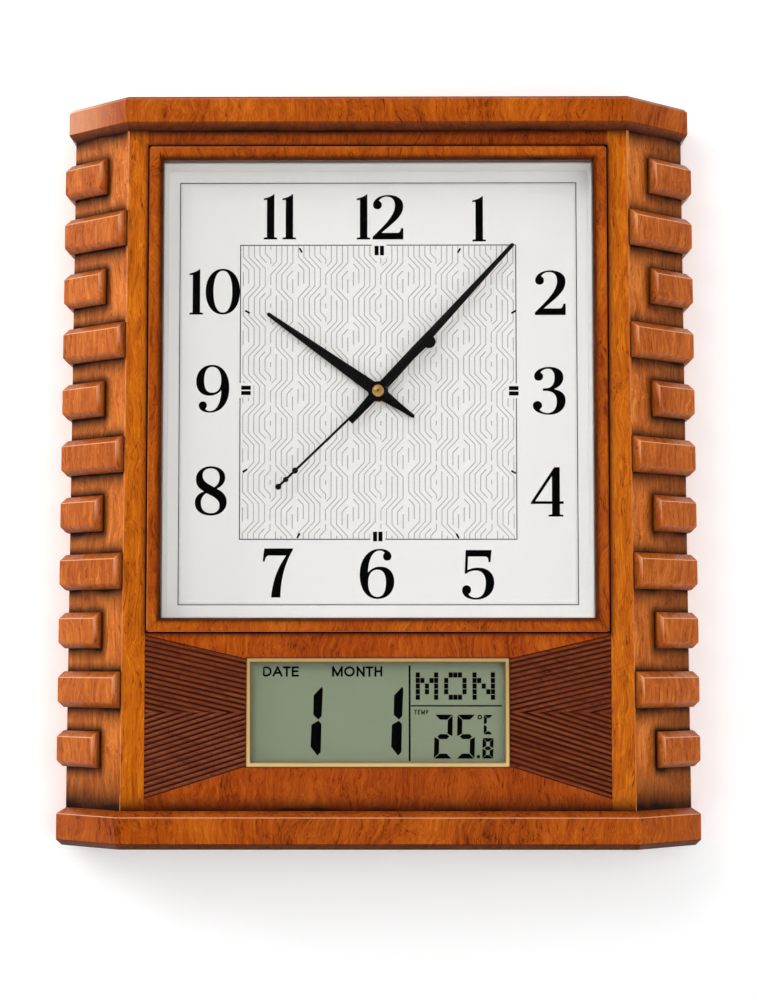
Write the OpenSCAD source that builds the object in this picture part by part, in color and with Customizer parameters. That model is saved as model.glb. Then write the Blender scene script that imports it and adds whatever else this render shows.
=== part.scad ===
// Wall clock with a square dial above a calendar display, in a wooden case.
// Millimetres. X runs right and Z up, seen from the front, and the wall is the plane Y = 0.
// The front faces -Y. The origin is the centre of the keyhole that hangs the clock.

/* [Case] */
// Height of the lower panel between the plinth and the dial frame
panel_h = 87.2; // [84:0.2:110]
// Width of the upright strip on each side of the dial frame
stile_w = 10.5; // [10:0.1:16]
// Width of a slanted cheek seen from the front, at half the height of the body
cheek_w = 30.8; // [26:0.2:40]
// How much narrower the top of the body is than its foot, on each side
body_lean = 2; // [0:0.5:4]
// Depth taken by the slanted cheeks
cheek_depth = 27; // [24:0.5:32]
// Depth of the side boards behind the cheeks
side_depth = 25.5; // [24:0.5:40]
// Thickness of the case boards
board_t = 9; // [8:0.5:10]
// Gap between the boards and the wall, filled by the pads and the hanger plate
wall_gap = 1.5; // [1:0.25:3]

/* [Plinth and cornice] */
// Height of the plinth
plinth_h = 18.8; // [16:0.2:24]
// How far the plinth stands out from the body
plinth_out = 4.6; // [3:0.2:7]
// Height of the bevel on top of the plinth
plinth_bevel_h = 3; // [1:0.2:4]
// Height and run of the bevel under the plinth
plinth_foot_bevel = 2.8; // [1:0.2:3]
// Height of the cornice
cornice_h = 17; // [14:0.2:22]
// How far the cornice stands out from the body
cornice_out = 3.4; // [2.6:0.2:6]
// Height of the bevel under the cornice
cornice_bevel_h = 3.7; // [1:0.1:5]
// Height and run of the bevel on top of the cornice
cornice_top_bevel = 1.7; // [0.5:0.1:2.5]

/* [Side blocks] */
// Least distance from the lowest block's centre to the plinth
block_foot_gap = 20; // [14:0.5:29]
// Height of the top block's centre below the cornice
block_top_drop = 21.1; // [18:0.1:26]
// Distance from the top block to the next one down
block_pitch = 28; // [23:0.1:32]
// How much each gap is wider than the gap above it
block_pitch_gain = 0.19; // [0:0.01:0.22]
// Height of a block where it meets the case
block_h = 18; // [12:0.2:20]
// How far a block stands out from the case
block_out = 4.8; // [3:0.1:6]
// Height of a block's straight sides before its bevels start
block_wall = 1.8; // [0.5:0.1:2.5]
// Width of the bevels along the top and bottom of a block
block_bevel = 3; // [1:0.1:4]
// Width of the bevel at the two ends of a block
block_end_bevel = 1.9; // [0.5:0.1:3]
// Where a short block starts, measured along the cheek from the front edge
short_start = 15.2; // [8:0.2:22]
// Where a long block starts, measured along the cheek from the front edge
long_start = 0.4; // [0.2:0.1:6]
// How far the blocks run back along the side boards
block_back_run = 15; // [8:0.5:18]

/* [Dial frame] */
// Gap between the cornice and the dial frame
frame_drop = 8.1; // [7:0.1:12]
// Outer width of the dial frame
frame_w = 229; // [224:0.5:260]
// Outer height of the dial frame
frame_h = 243.2; // [234:0.2:280]
// Width of the frame's rails
rail_w = 6.9; // [6.2:0.1:8]
// Depth of the frame's rails
rail_d = 7; // [5.5:0.1:7.4]
// How far the rails stand in front of the panel
rail_proud = 1.2; // [0.2:0.1:2]
// Width of the bevel on the inner edge of the rails
rail_bevel = 1; // [0.4:0.1:1.5]
// Width of the small bevel on the outer edge of the rails
rail_edge = 0.6; // [0.2:0.1:1]
// Rounding of the frame's outer corners
frame_corner_r = 1.6; // [0.8:0.1:3]
// Width of the dark groove round the frame
groove_w = 0.7; // [0.4:0.1:1]
// Width of the ledge in the panel that carries the rails
ledge_w = 5; // [4:0.1:5.4]

/* [Dial] */
// Thickness of the dial glass
glass_t = 2; // [1.5:0.1:3]
// Distance from the front of the rails to the face of the dial
dial_recess = 24; // [22:0.1:26]
// Wall of the white surround between the glass and the dial
surround_t = 2.6; // [1.6:0.1:3]
// How much the surround's opening narrows towards the dial, on each side
surround_draft = 0.5; // [0:0.1:1]
// Thickness of the dial plate
dial_t = 2; // [1:0.1:3]
// Height of the blocks that carry the dial plate
dial_block_h = 20; // [12:1:26]
// Width of the blocks that carry the dial plate
dial_block_w = 9.4; // [8:0.1:9.6]
// How far in from the top and bottom of the dial's opening the dial plate's screws are
dial_screw_inset = 17.3; // [12:0.1:40]

/* [Hands] */
// Length of the minute hand from the axis to its tip
minute_l = 102; // [80:0.5:103]
// Length of the hour hand from the axis to its tip
hour_l = 69; // [50:0.2:75]
// Length of the second hand from the axis to its tip
second_l = 71.4; // [55:0.2:95]
// Length of the minute hand's tail
minute_tail = 21; // [12:0.5:26]
// Length of the hour hand's tail
hour_tail = 22.4; // [12:0.2:26]
// Distance from the axis to the second hand's counterweight
second_tail = 35.9; // [20:0.1:42]
// Width of the minute hand at the axis
minute_w = 5.4; // [3:0.1:6]
// Width of the hour hand at the axis
hour_w = 6.7; // [4:0.1:7]
// Width of the hour and minute hands at their tips
hand_tip_w = 2; // [1:0.1:2.4]
// Width of the second hand's rod
second_w = 1.2; // [0.8:0.1:1.6]
// Thickness of the hour and minute hands
hand_t = 0.5; // [0.3:0.05:0.7]
// Radius of the hour hand's and the minute hand's hub
hand_hub_r = 5.1; // [4:0.1:6]
// Clock angle of the hour hand
hour_angle = 305.4; // [0:0.1:359]
// Clock angle of the minute hand
minute_angle = 42.4; // [0:0.1:359]
// Clock angle of the second hand
second_angle = 226; // [0:1:359]

/* [Movement] */
// Side of the square movement
mov_side = 56; // [55:0.5:60]
// Depth of the movement with its cover
mov_d = 16; // [16:0.1:17]
// Wall of the movement's case and cover
mov_wall = 1.2; // [1:0.05:1.3]
// Radius of the threaded bush that goes through the dial
bush_r = 4; // [3.6:0.1:4.4]
// Length of the bush in front of the movement
bush_l = 5.2; // [4.9:0.1:5.4]
// Outer radius of the hour pipe
hour_pipe_r = 2.5; // [2.4:0.05:2.7]
// Outer radius of the minute pipe
minute_pipe_r = 1.75; // [1.6:0.05:1.85]
// Radius of the second hand's shaft
second_shaft_r = 0.5; // [0.4:0.05:0.6]
// Radial clearance of the shafts and pivots
running_fit = 0.07; // [0.02:0.01:0.1]
// Radius of the fine pivots at the ends of the shafts
pivot_r = 0.3; // [0.2:0.05:0.4]
// Module of the wheel that the second hand's pinion drives
third_module = 0.22; // [0.21:0.005:0.23]
// Module of the second wheel and the pinion that drives it
second_module = 0.27; // [0.26:0.005:0.28]
// Module of the rotor's pinion and the wheel it drives
rotor_module = 0.22; // [0.21:0.005:0.23]
// Module of the wheels that drive the hour wheel
motion_module = 0.3; // [0.29:0.005:0.3]
// Radius of the setting knob
knob_r = 5; // [4:0.1:6]

/* [Calendar display] */
// Height of the display's centre above the middle of the lower panel
lcd_rise = 4.6; // [3:0.1:5.5]
// Outer width of the display's metal trim
trim_w = 130; // [124:0.5:132]
// Outer height of the display's metal trim
trim_h = 53.8; // [52:0.2:54.4]
// Width of the trim's face
trim_face = 2.4; // [2:0.1:3]
// How far the trim stands in front of the panel
trim_proud = 0.9; // [0.2:0.1:1.5]
// Depth of the trim in the panel
trim_d = 3; // [2:0.1:4]
// Thickness of the clear window in front of the display
window_t = 1.5; // [1:0.1:2]
// Thickness of the display's glass cell
cell_t = 2.8; // [2:0.1:3]
// How far the calendar module's housing reaches past the trim, on the left and right
module_side = 7; // [6:0.5:9]
// How far the calendar module's housing reaches past the trim, at the top and bottom
module_rim = 4.1; // [3.6:0.1:4.6]
// Wall of the calendar module's housing
module_wall = 1.8; // [1.5:0.1:2.2]
// Travel of the push buttons
button_travel = 0.8; // [0.4:0.1:0.9]
// Radius of the push buttons
button_r = 3; // [2.4:0.1:3.4]
// Distance between the push buttons
button_pitch = 16; // [13:0.5:18]

/* [Reeded wings] */
// Gap between the dial frame's groove and the top corner of a wing
wing_top_gap = 0.8; // [0.4:0.1:3]
// Gap between the plinth and the bottom corner of a wing
wing_foot_gap = 5.8; // [3:0.1:9]
// How far the wings' inner edge stops short of the display trim, at the top and bottom
wing_inner_inset = 0.3; // [0:0.1:2]
// Distance between two reeds
reed_pitch = 2.5; // [2.2:0.01:4]
// Radius of a reed
reed_r = 1.4; // [1.2:0.05:2]
// Depth of the pocket that holds a wing
wing_pocket = 3.2; // [2.6:0.1:4]

/* [Back] */
// How far the hanging keyhole lies below the cornice
hang_drop = 22; // [20:0.5:30]
// Radius of the keyhole's round part
key_r = 4.5; // [4:0.1:5.5]
// Width of the keyhole's slot
key_slot_w = 4.4; // [3.6:0.1:5]
// Length of the slot above the round part's centre
key_slot_l = 9; // [7:0.5:10]
// Width of the hanger plate
hanger_w = 60; // [50:1:80]
// Height of the hanger plate
hanger_plate_h = 26; // [24:1:28]
// Height of the wooden rail that carries the hanger plate
hanger_rail_h = 30; // [28:0.5:32]
// Thickness of the hanger rail
hanger_rail_t = 14; // [10:0.5:16]
// Depth of the pocket behind the keyhole
key_pocket_d = 7; // [5:0.5:8]
// Thickness of the back board
back_t = 3; // [2:0.5:4]
// Side of the strips that carry the back board
cleat_s = 10; // [8:0.5:12]
// Radius of the rubber wall pads
pad_r = 7; // [5:0.5:9]

/* [Fits and fasteners] */
// Play between pieces that drop into each other
fit = 0.2; // [0.1:0.05:0.3]
// Glue line between a slanted board and what is glued to it
glue = 0.02; // [0.01:0.01:0.05]
// Radial clearance of a screw in its hole
screw_fit = 0.05; // [0.02:0.01:0.1]
// Radius of the screws' shanks
screw_r = 1.5; // [1.2:0.1:1.6]
// Radius of the screws' heads
screw_head_r = 2.9; // [2.5:0.1:3.2]
// Smoothness of round surfaces
round_fn = 64; // [32:8:128]

/* [Hidden] */
$fn = round_fn;

wood = "#a8571e";
dark_wood = "#5a2a14";
pale_wood = "#c79a62";
white = "#ededea";
black = "#141414";
brass = "#c9a24a";
steel = "#b9bcc0";
grey_plastic = "#d6d3c8";
wheel_plastic = "#e8e4d4";
board_green = "#2f6b45";

// Heights in the clock's own build space, where the bottom of the plinth is 0
foot_z = plinth_h;
dial_h = foot_z + panel_h + groove_w + frame_h / 2;
head_z = dial_h + frame_h / 2 + frame_drop;
body_h = head_z - foot_z;
case_h = head_z + cornice_h;
hang_h = head_z - hang_drop;
lcd_h = foot_z + panel_h / 2 + lcd_rise;

// Depths: the wall is 0 and the front is negative
y_back = -wall_gap;
y_corner = y_back - side_depth;
y_front = y_corner - cheek_depth;
y_panel_back = y_front + board_t;
y_rail_front = y_front - rail_proud;
y_ledge = y_rail_front + rail_d;
y_glass_back = y_ledge + glass_t;
y_dial = y_rail_front + dial_recess;
y_dial_back = y_dial + dial_t;

// Widths of the flat front and of the body, and the angle of the cheeks
front_w = frame_w + 2 * (groove_w + stile_w);
body_w = front_w + 2 * cheek_w;
cheek_a = atan2(cheek_depth, cheek_w);

// Half sizes of the dial frame, its groove and the hole behind it
frame_x = frame_w / 2;
frame_z = frame_h / 2;
groove_x = frame_x + groove_w;
groove_z = frame_z + groove_w;
hole_x = groove_x - ledge_w;
hole_z = groove_z - ledge_w;

// Sideways shift of the body's surface at height z: the sides lean in towards the top
function lean(z) = body_lean * (0.5 - (z - foot_z) / body_h);

// Corners of the body's outline in plan on the right side, moved outwards by o
function front_corner(o) = [front_w / 2 + o * tan(cheek_a / 2), y_front - o];
function side_corner(o) = [body_w / 2 + o, y_corner - o * tan((90 - cheek_a) / 2)];
function rear_corner(o) = [body_w / 2 + o, y_back];

// A point of the plan at height z, with the lean of the body at height zl
function on_body(p, z, zl) = [p.x + lean(zl), p.y, z];

// Closed solid through rings of points, each ring counter-clockwise seen from the last ring
module through_rings(rings) {
    n = len(rings[0]);
    last = (len(rings) - 1) * n;
    polyhedron(
        points = [for (r = rings) each r],
        faces = concat(
            [[for (i = [0 : n - 1]) i]],
            [[for (i = [n - 1 : -1 : 0]) last + i]],
            [for (k = [0 : len(rings) - 2], i = [0 : n - 1])
                [k * n + i, (k + 1) * n + i, (k + 1) * n + (i + 1) % n, k * n + (i + 1) % n]]
        )
    );
}

// Moves the build space so that the hanging keyhole is the origin
module in_place() {
    translate([0, 0, -hang_h]) children();
}

// Draws a flat shape facing the front, between two depths, round a point [x, z]
module facing(y0, y1, at = [0, 0]) {
    translate([at.x, y1, at.y]) rotate([90, 0, 0]) linear_extrude(y1 - y0) children();
}

module both_sides() {
    children();
    mirror([1, 0, 0]) children();
}

module left_side_of() {
    mirror([1, 0, 0]) children();
}

// Rectangle round the centre given by its half sizes
module half_rect(hx, hz) {
    square([2 * hx, 2 * hz], center = true);
}

module round_rect(hx, hz, r) {
    half_rect(hx - r, hz);
    half_rect(hx, hz - r);
    for (sx = [-1, 1], sz = [-1, 1]) translate([sx * (hx - r), sz * (hz - r)]) circle(r);
}

// Full outline of the body in plan, moved out by o, at height z with the lean of height zl
function outline(o, z, zl) = let (
    f = on_body(front_corner(o), z, zl),
    s = on_body(side_corner(o), z, zl),
    b = on_body(rear_corner(o), z, zl)
) [[-f.x, f.y, z], f, s, b, [-b.x, b.y, z], [-s.x, s.y, z]];

module top_cornice() {
    color(wood) in_place() through_rings([
        outline(0, head_z, head_z),
        outline(cornice_out, head_z + cornice_bevel_h, head_z),
        outline(cornice_out, case_h - cornice_top_bevel, head_z),
        outline(cornice_out - cornice_top_bevel, case_h, head_z)
    ]);
}

module base_plinth() {
    color(wood) in_place() through_rings([
        outline(plinth_out - plinth_foot_bevel, 0, foot_z),
        outline(plinth_out, plinth_foot_bevel, foot_z),
        outline(plinth_out, foot_z - plinth_bevel_h, foot_z),
        outline(0, foot_z, foot_z)
    ]);
}

// Board between two heights from its plan points; the first lean_n points follow the lean
module board(plan, z0, z1, lean_n) {
    through_rings([for (z = [z0, z1])
        [for (i = [0 : len(plan) - 1]) [plan[i].x + (i < lean_n ? lean(z) : 0), plan[i].y, z]]]);
}

module right_cheek_board() {
    board([front_corner(0), side_corner(0), side_corner(-board_t), front_corner(-board_t)],
        foot_z, head_z, 4);
}

module right_side_board() {
    board([side_corner(0), rear_corner(0), rear_corner(-board_t), side_corner(-board_t)],
        foot_z, head_z, 4);
}

module left_cheek() {
    color(wood) in_place() left_side_of() right_cheek_board();
}

module right_cheek() {
    color(wood) in_place() right_cheek_board();
}

module left_side() {
    color(wood) in_place() left_side_of() right_side_board();
}

module right_side() {
    color(wood) in_place() right_side_board();
}

// Upright strip beside the dial frame, with the ledge that carries the rail
module right_stile_board() {
    difference() {
        board([front_corner(0), front_corner(-board_t), [hole_x, y_panel_back], [hole_x, y_front]],
            foot_z, head_z, 2);
        translate([hole_x - 1, y_front - 1, foot_z - 1])
            cube([groove_x - hole_x + 1, y_ledge - y_front + 1, body_h + 2]);
    }
}

module left_stile() {
    color(wood) in_place() left_side_of() right_stile_board();
}

module right_stile() {
    color(wood) in_place() right_stile_board();
}

module front_top_rail() {
    front_z = dial_h + groove_z;
    rear_z = dial_h + hole_z;
    color(wood) in_place() {
        translate([-groove_x, y_front, front_z])
            cube([2 * groove_x, y_ledge - y_front, head_z - front_z]);
        translate([-hole_x, y_ledge, rear_z])
            cube([2 * hole_x, y_panel_back - y_ledge, head_z - rear_z]);
    }
}

// Shape of the right wing seen from the front, measured from the display's centre: it starts
// where the trim's seat ends
trim_seat_x = trim_w / 2 + fit;
trim_seat_z = trim_h / 2 + fit;
wing_run = groove_x - trim_seat_x;
wing_inner_z = trim_h / 2 - wing_inner_inset;
wing_up = dial_h - groove_z - wing_top_gap - lcd_h;
wing_down = lcd_h - foot_z - wing_foot_gap;

// One half of a wing, from the middle line to an edge that is z_outer high at its outer end
module wing_half(z_outer, z_inner) {
    polygon([[trim_seat_x, 0], [groove_x, 0], [groove_x, z_outer], [trim_seat_x, z_inner]]);
}

// Pocket for the wing, open at the panel's edge
module wing_pocket_shape() {
    wing_half(wing_up, wing_inner_z);
    wing_half(-wing_down, -wing_inner_z);
    translate([groove_x - 0.01, -wing_down]) square([1, wing_up + wing_down]);
}

// Half sizes of the display's housing, the trim's seat and the opening behind it
module_x = trim_w / 2 + module_side;
module_z = trim_h / 2 + module_rim;
trim_lip = 1.5;
cell_hole_x = trim_w / 2 - trim_lip;
cell_hole_z = trim_h / 2 - trim_lip;
y_trim_back = y_front + trim_d;

module lower_panel() {
    color(wood) in_place() difference() {
        union() {
            translate([-groove_x, y_front, foot_z])
                cube([2 * groove_x, y_ledge - y_front, dial_h - groove_z - foot_z]);
            translate([-hole_x, y_ledge, foot_z])
                cube([2 * hole_x, y_panel_back - y_ledge, dial_h - hole_z - foot_z]);
        }
        facing(y_front - 1, y_front + wing_pocket, [0, lcd_h]) both_sides() wing_pocket_shape();
        facing(y_front - 1, y_trim_back, [0, lcd_h]) half_rect(trim_seat_x, trim_seat_z);
        facing(y_front - 1, y_panel_back + 1, [0, lcd_h]) half_rect(cell_hole_x, cell_hole_z);
        module_screws_at() facing(y_panel_back - module_grip, y_panel_back + 1) screw_hole();
    }
}

module screw_hole() {
    circle(screw_r + screw_fit);
}

// Plan points of the cheek's surface, at t along it from the front edge and o out from it
function cheek_point(t, o) = front_corner(0)
    + t * [cos(cheek_a), sin(cheek_a)] + o * [sin(cheek_a), -cos(cheek_a)];

// Block that starts at t along the cheek, goes round the corner and runs back on the side board
module side_block(z_mid, start) {
    z0 = z_mid - block_h / 2;
    z1 = z_mid + block_h / 2;
    layers = [[glue, 0, 0], [block_wall, 0, 0], [block_out, block_bevel, block_end_bevel]];
    rings = [for (l = layers) let (
        a = cheek_point(start + l[2], l[0]),
        b = side_corner(l[0]),
        c = [body_w / 2 + l[0], y_corner + block_back_run - l[2]]
    ) [for (p = [[a, z0 + l[1]], [b, z0 + l[1]], [c, z0 + l[1]],
                 [c, z1 - l[1]], [b, z1 - l[1]], [a, z1 - l[1]]])
        on_body(p[0], p[1], p[1])]];
    polyhedron(
        points = [for (r = rings) each r],
        faces = concat(
            [[0, 1, 4, 5], [1, 2, 3, 4], [17, 16, 13, 12], [16, 15, 14, 13]],
            [for (k = [0, 6], i = [0 : 5])
                [k + i, k + 6 + i, k + 6 + (i + 1) % 6, k + (i + 1) % 6]]
        )
    );
}

// Height of the centre of block k, counted down from the cornice
function block_z(k) = head_z - block_top_drop - block_pitch * k - block_pitch_gain * k * (k - 1) / 2;

// As many blocks as the body has room for, long ones between short ones
module right_block_column() {
    for (k = [0 : floor(body_h / block_pitch)]) if (block_z(k) > foot_z + block_foot_gap)
        side_block(block_z(k), k % 2 == 0 ? short_start : long_start);
}

module left_blocks() {
    color(wood) in_place() left_side_of() right_block_column();
}

module right_blocks() {
    color(wood) in_place() right_block_column();
}

// Section of a frame rail: distance in from the outer edge, and depth behind the front
rail_section = [
    [0, rail_edge], [rail_edge, 0], [rail_w - rail_bevel, 0], [rail_w, 1.5 * rail_bevel],
    [rail_w, rail_d], [0, rail_d]
];

// The rail on top of a frame of the given half sizes round the origin, with mitred ends
module mitred_rail(half_l, half_h) {
    intersection() {
        rotate([90, 0, 90]) translate([0, 0, -half_l]) linear_extrude(2 * half_l)
            polygon([for (p = rail_section) [y_rail_front + p.y, half_h - p.x]]);
        facing(y_rail_front - 1, y_ledge + 1)
            polygon([[-half_l, half_h], [-half_l + rail_w, half_h - rail_w],
                [half_l - rail_w, half_h - rail_w], [half_l, half_h]]);
    }
}

module frame_rail(turn, half_l, half_h) {
    color(wood) in_place() translate([0, 0, dial_h]) intersection() {
        rotate([0, turn, 0]) mitred_rail(half_l, half_h);
        facing(y_rail_front - 1, y_ledge + 1) round_rect(frame_x, frame_z, frame_corner_r);
    }
}

module frame_top_rail() {
    frame_rail(0, frame_x, frame_z);
}

module frame_bottom_rail() {
    frame_rail(180, frame_x, frame_z);
}

module frame_left_rail() {
    frame_rail(-90, frame_z, frame_x);
}

module frame_right_rail() {
    frame_rail(90, frame_z, frame_x);
}

// Reeds that lie along one edge of a wing and repeat towards its middle line
wing_board_t = wing_pocket - reed_r * 0.9;
y_wing_back = y_front + wing_pocket;
y_reed_axis = y_wing_back - wing_board_t;

module reed_bank(z_outer, z_inner) {
    side = sign(z_outer);
    slope = atan2(z_outer - z_inner, wing_run);
    reeds = ceil(abs(z_outer) * cos(slope) / reed_pitch) + 1;
    intersection() {
        facing(y_reed_axis - 2 * reed_r, y_wing_back, [0, lcd_h]) wing_half(z_outer, z_inner);
        translate([trim_seat_x, 0, lcd_h + z_inner]) rotate([0, -slope, 0])
            translate([-wing_run, 0, 0]) rotate([90, 0, 90]) linear_extrude(3 * wing_run) {
                for (k = [0 : reeds]) translate([y_reed_axis, -side * (k + 0.5) * reed_pitch])
                    circle(reed_r);
                translate([y_reed_axis, side > 0 ? -(reeds + 1) * reed_pitch : 0])
                    square([wing_board_t, (reeds + 1) * reed_pitch]);
            }
    }
}

module right_wing() {
    reed_bank(wing_up, wing_inner_z);
    reed_bank(-wing_down, -wing_inner_z);
}

module left_reeded_wing() {
    color(dark_wood) in_place() left_side_of() right_wing();
}

module right_reeded_wing() {
    color(dark_wood) in_place() right_wing();
}

// The glass and the surround drop into the hole behind the rails
glazing_x = hole_x - 2 * fit;
glazing_z = hole_z - 2 * fit;

module dial_glass() {
    color("lightcyan", 0.3) in_place() facing(y_ledge, y_glass_back, [0, dial_h])
        half_rect(glazing_x, glazing_z);
}

function rect_ring(hx, hz, y, z) = [[-hx, y, z - hz], [hx, y, z - hz], [hx, y, z + hz], [-hx, y, z + hz]];

module dial_surround() {
    x = glazing_x - surround_t;
    z = glazing_z - surround_t;
    slope = surround_draft / (y_dial - y_glass_back);
    color(white) in_place() difference() {
        facing(y_glass_back, y_dial, [0, dial_h]) half_rect(glazing_x, glazing_z);
        through_rings([
            rect_ring(x - surround_draft - slope, z - surround_draft - slope, y_dial + 1, dial_h),
            rect_ring(x + slope, z + slope, y_glass_back - 1, dial_h)
        ]);
    }
}

// Blocks behind the stiles that the dial plate is screwed to
dial_block_x = hole_x + 2 * fit;
dial_screw_x = dial_block_x + dial_block_w / 2;
plate_x = dial_block_x + dial_block_w;
plate_z = hole_z + 3;
dial_screw_l = 11;
// Depth left in a blind hole behind the screw's tip
tip_gap = 0.5;

module dial_screws_at() {
    for (sx = [-1, 1], sz = [-1, 1])
        translate([sx * dial_screw_x, 0, dial_h + sz * (hole_z - dial_screw_inset)]) children();
}

module dial_plate() {
    color(white) in_place() difference() {
        facing(y_dial, y_dial_back, [0, dial_h]) half_rect(plate_x, plate_z);
        facing(y_dial - 1, y_dial_back + 1, [0, dial_h]) circle(bush_r + fit);
        dial_screws_at() facing(y_dial - 1, y_dial_back + 1) screw_hole();
    }
}

// Strips along the side boards that the back board is screwed to
back_inset = 4.5;
y_board_rear = y_back - back_inset;
y_board_front = y_board_rear - back_t;
inner_x = body_w / 2 - board_t;
hanger_rail_z = hang_h + key_slot_l / 2 - hanger_rail_h / 2;
back_top_z = hanger_rail_z - fit;
back_screw_x = inner_x - cleat_s / 2;
back_screw_l = back_t + cleat_s - 3;
back_screw_inset = 24;

module back_screws_at() {
    rise = (back_top_z - foot_z) / 2 - back_screw_inset;
    for (sx = [-1, 1], k = [-1 : 1])
        translate([sx * back_screw_x, 0, (foot_z + back_top_z) / 2 + k * rise]) children();
}

module case_blocks() {
    color(pale_wood) in_place() {
        difference() {
            dial_screws_at() facing(y_panel_back, y_dial) half_rect(dial_block_w / 2, dial_block_h / 2);
            dial_screws_at() facing(y_dial_back - dial_screw_l - tip_gap, y_dial + 1) screw_hole();
        }
        difference() {
            both_sides() board([[inner_x - cleat_s, y_board_front - cleat_s],
                [inner_x - glue, y_board_front - cleat_s], [inner_x - glue, y_board_front],
                [inner_x - cleat_s, y_board_front]], foot_z, back_top_z, 4);
            back_screws_at() facing(y_board_rear - back_screw_l - tip_gap, y_board_front + 1) screw_hole();
        }
    }
}

movement_window = mov_side / 2 + 9;
module_window_x = module_x + 12;
module_window_z = module_z + 4;

module back_board() {
    half_w = inner_x - body_lean / 2 - fit;
    color("#8b6b45") in_place() difference() {
        translate([-half_w, y_board_front, foot_z + fit])
            cube([2 * half_w, back_t, back_top_z - foot_z - fit]);
        facing(y_board_front - 1, y_board_rear + 1, [0, dial_h])
            half_rect(movement_window, movement_window);
        facing(y_board_front - 1, y_board_rear + 1, [0, lcd_h])
            half_rect(module_window_x, module_window_z);
        back_screws_at() facing(y_board_front - 1, y_board_rear + 1) screw_hole();
    }
}

// Hanging: a keyhole plate on a rail between the side boards
key_mid_z = hang_h + key_slot_l / 2;
key_pocket_play = 1.5;
hanger_screw_x = hanger_w / 2 - 8;
hanger_screw_z = hanger_plate_h / 2 - 5;
hanger_screw_l = 11;

module hanger_screws_at() {
    for (sx = [-1, 1], sz = [-1, 1])
        translate([sx * hanger_screw_x, 0, key_mid_z + sz * hanger_screw_z]) children();
}

module hanger_rail() {
    top_z = hanger_rail_z + hanger_rail_h;
    rings = [for (z = [hanger_rail_z, top_z]) let (x = inner_x - glue + lean(z))
        [[-x, y_back - hanger_rail_t, z], [x, y_back - hanger_rail_t, z], [x, y_back, z], [-x, y_back, z]]];
    color(pale_wood) in_place() difference() {
        through_rings(rings);
        facing(y_back - key_pocket_d, y_back + 1, [0, key_mid_z])
            half_rect(key_r + key_pocket_play, key_slot_l / 2 + key_r + key_pocket_play);
        hanger_screws_at() facing(-hanger_screw_l - tip_gap, y_back + 1) screw_hole();
    }
}

// Shape of a countersunk head, from the wall plane inwards
module countersink(r_add) {
    rotate([90, 0, 0]) cylinder(h = wall_gap, r1 = screw_head_r + r_add, r2 = screw_r + r_add);
}

module hanger_plate() {
    color(steel) in_place() difference() {
        facing(y_back, 0, [0, key_mid_z]) half_rect(hanger_w / 2, hanger_plate_h / 2);
        facing(y_back - 1, 1, [0, hang_h]) circle(key_r);
        facing(y_back - 1, 1, [0, hang_h]) {
            translate([-key_slot_w / 2, 0]) square([key_slot_w, key_slot_l]);
            translate([0, key_slot_l]) circle(key_slot_w / 2);
        }
        hanger_screws_at() {
            countersink(screw_fit);
            facing(y_back - 1, 0) screw_hole();
            facing(-0.01, 1) circle(screw_head_r + screw_fit);
        }
    }
}

module countersunk_screws() {
    color(steel) in_place() hanger_screws_at() difference() {
        union() {
            countersink(0);
            facing(-hanger_screw_l, y_back) circle(screw_r);
        }
        facing(-0.6, 1) cross_slot(screw_head_r * 0.55);
    }
}

module cross_slot(reach) {
    slot_w = 0.7;
    square([2 * reach, slot_w], center = true);
    square([slot_w, 2 * reach], center = true);
}

// Pan-head screw whose head sits on a face at depth y
module pan_screw(y, l) {
    head_t = 1.7;
    slot_d = 0.8;
    difference() {
        union() {
            facing(y - l, y) circle(screw_r);
            facing(y, y + head_t) circle(screw_head_r);
        }
        facing(y + head_t - slot_d, y + head_t + 1) cross_slot(screw_head_r * 0.6);
    }
}

module pan_screws() {
    color(steel) in_place() {
        dial_screws_at() pan_screw(y_dial_back, dial_screw_l);
        back_screws_at() pan_screw(y_board_rear, back_screw_l);
        module_screws_at() pan_screw(y_panel_back + ear_t, module_grip + ear_t - 0.5);
    }
}

module wall_pads() {
    color("#2b2b2b") in_place() both_sides()
        facing(y_back, 0, [body_w / 2 - 2 * pad_r, plinth_h / 2]) circle(pad_r);
}

// Movement: depths w run back from its front face, and places [u, v] from the axis of the hands
gasket_t = 0.5;
y_mov = y_dial_back + gasket_t;

module mov(w0, w1, at = [0, 0]) {
    facing(y_mov + w0, y_mov + w1, [at.x, dial_h + at.y]) children();
}

function toward(a, r) = r * [cos(a), sin(a)];

// Teeth of the wheels and pinions
third_pinion_n = 8;
third_n = 64;
centre_pinion_n = 8;
centre_n = 60;
cannon_n = 12;
motion_n = 36;
motion_pinion_n = 10;
hour_n = 40;
second_n = 40;
inter_pinion_n = 8;
inter_n = 48;
rotor_n = 8;
knob_n = 12;

// Wheels that share an axis need equal centre distances, which sets the other modules
third_cd = third_module * (third_pinion_n + third_n) / 2;
centre_module = 2 * third_cd / (centre_pinion_n + centre_n);
motion_cd = motion_module * (cannon_n + motion_n) / 2;
hour_module = 2 * motion_cd / (motion_pinion_n + hour_n);
second_cd = second_module * (second_n + inter_pinion_n) / 2;
rotor_cd = rotor_module * (inter_n + rotor_n) / 2;
knob_cd = motion_module * (motion_n + knob_n) / 2;

// Directions from one axis to the next
third_dir = 0;
motion_dir = 100;
inter_dir = 180;
rotor_dir = 165;

centre_at = [0, 0];
third_at = toward(third_dir, third_cd);
motion_at = toward(motion_dir, motion_cd);
inter_at = toward(inter_dir, second_cd);
rotor_at = inter_at + toward(rotor_dir, rotor_cd);
knob_at = motion_at + toward(motion_dir, knob_cd);

// Turn of a wheel with n2 teeth, in direction a from a wheel with n1 teeth, so that they mesh
function mesh_turn(n1, n2, a) = a + 180 + a * n1 / n2 + 180 / n2;

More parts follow.
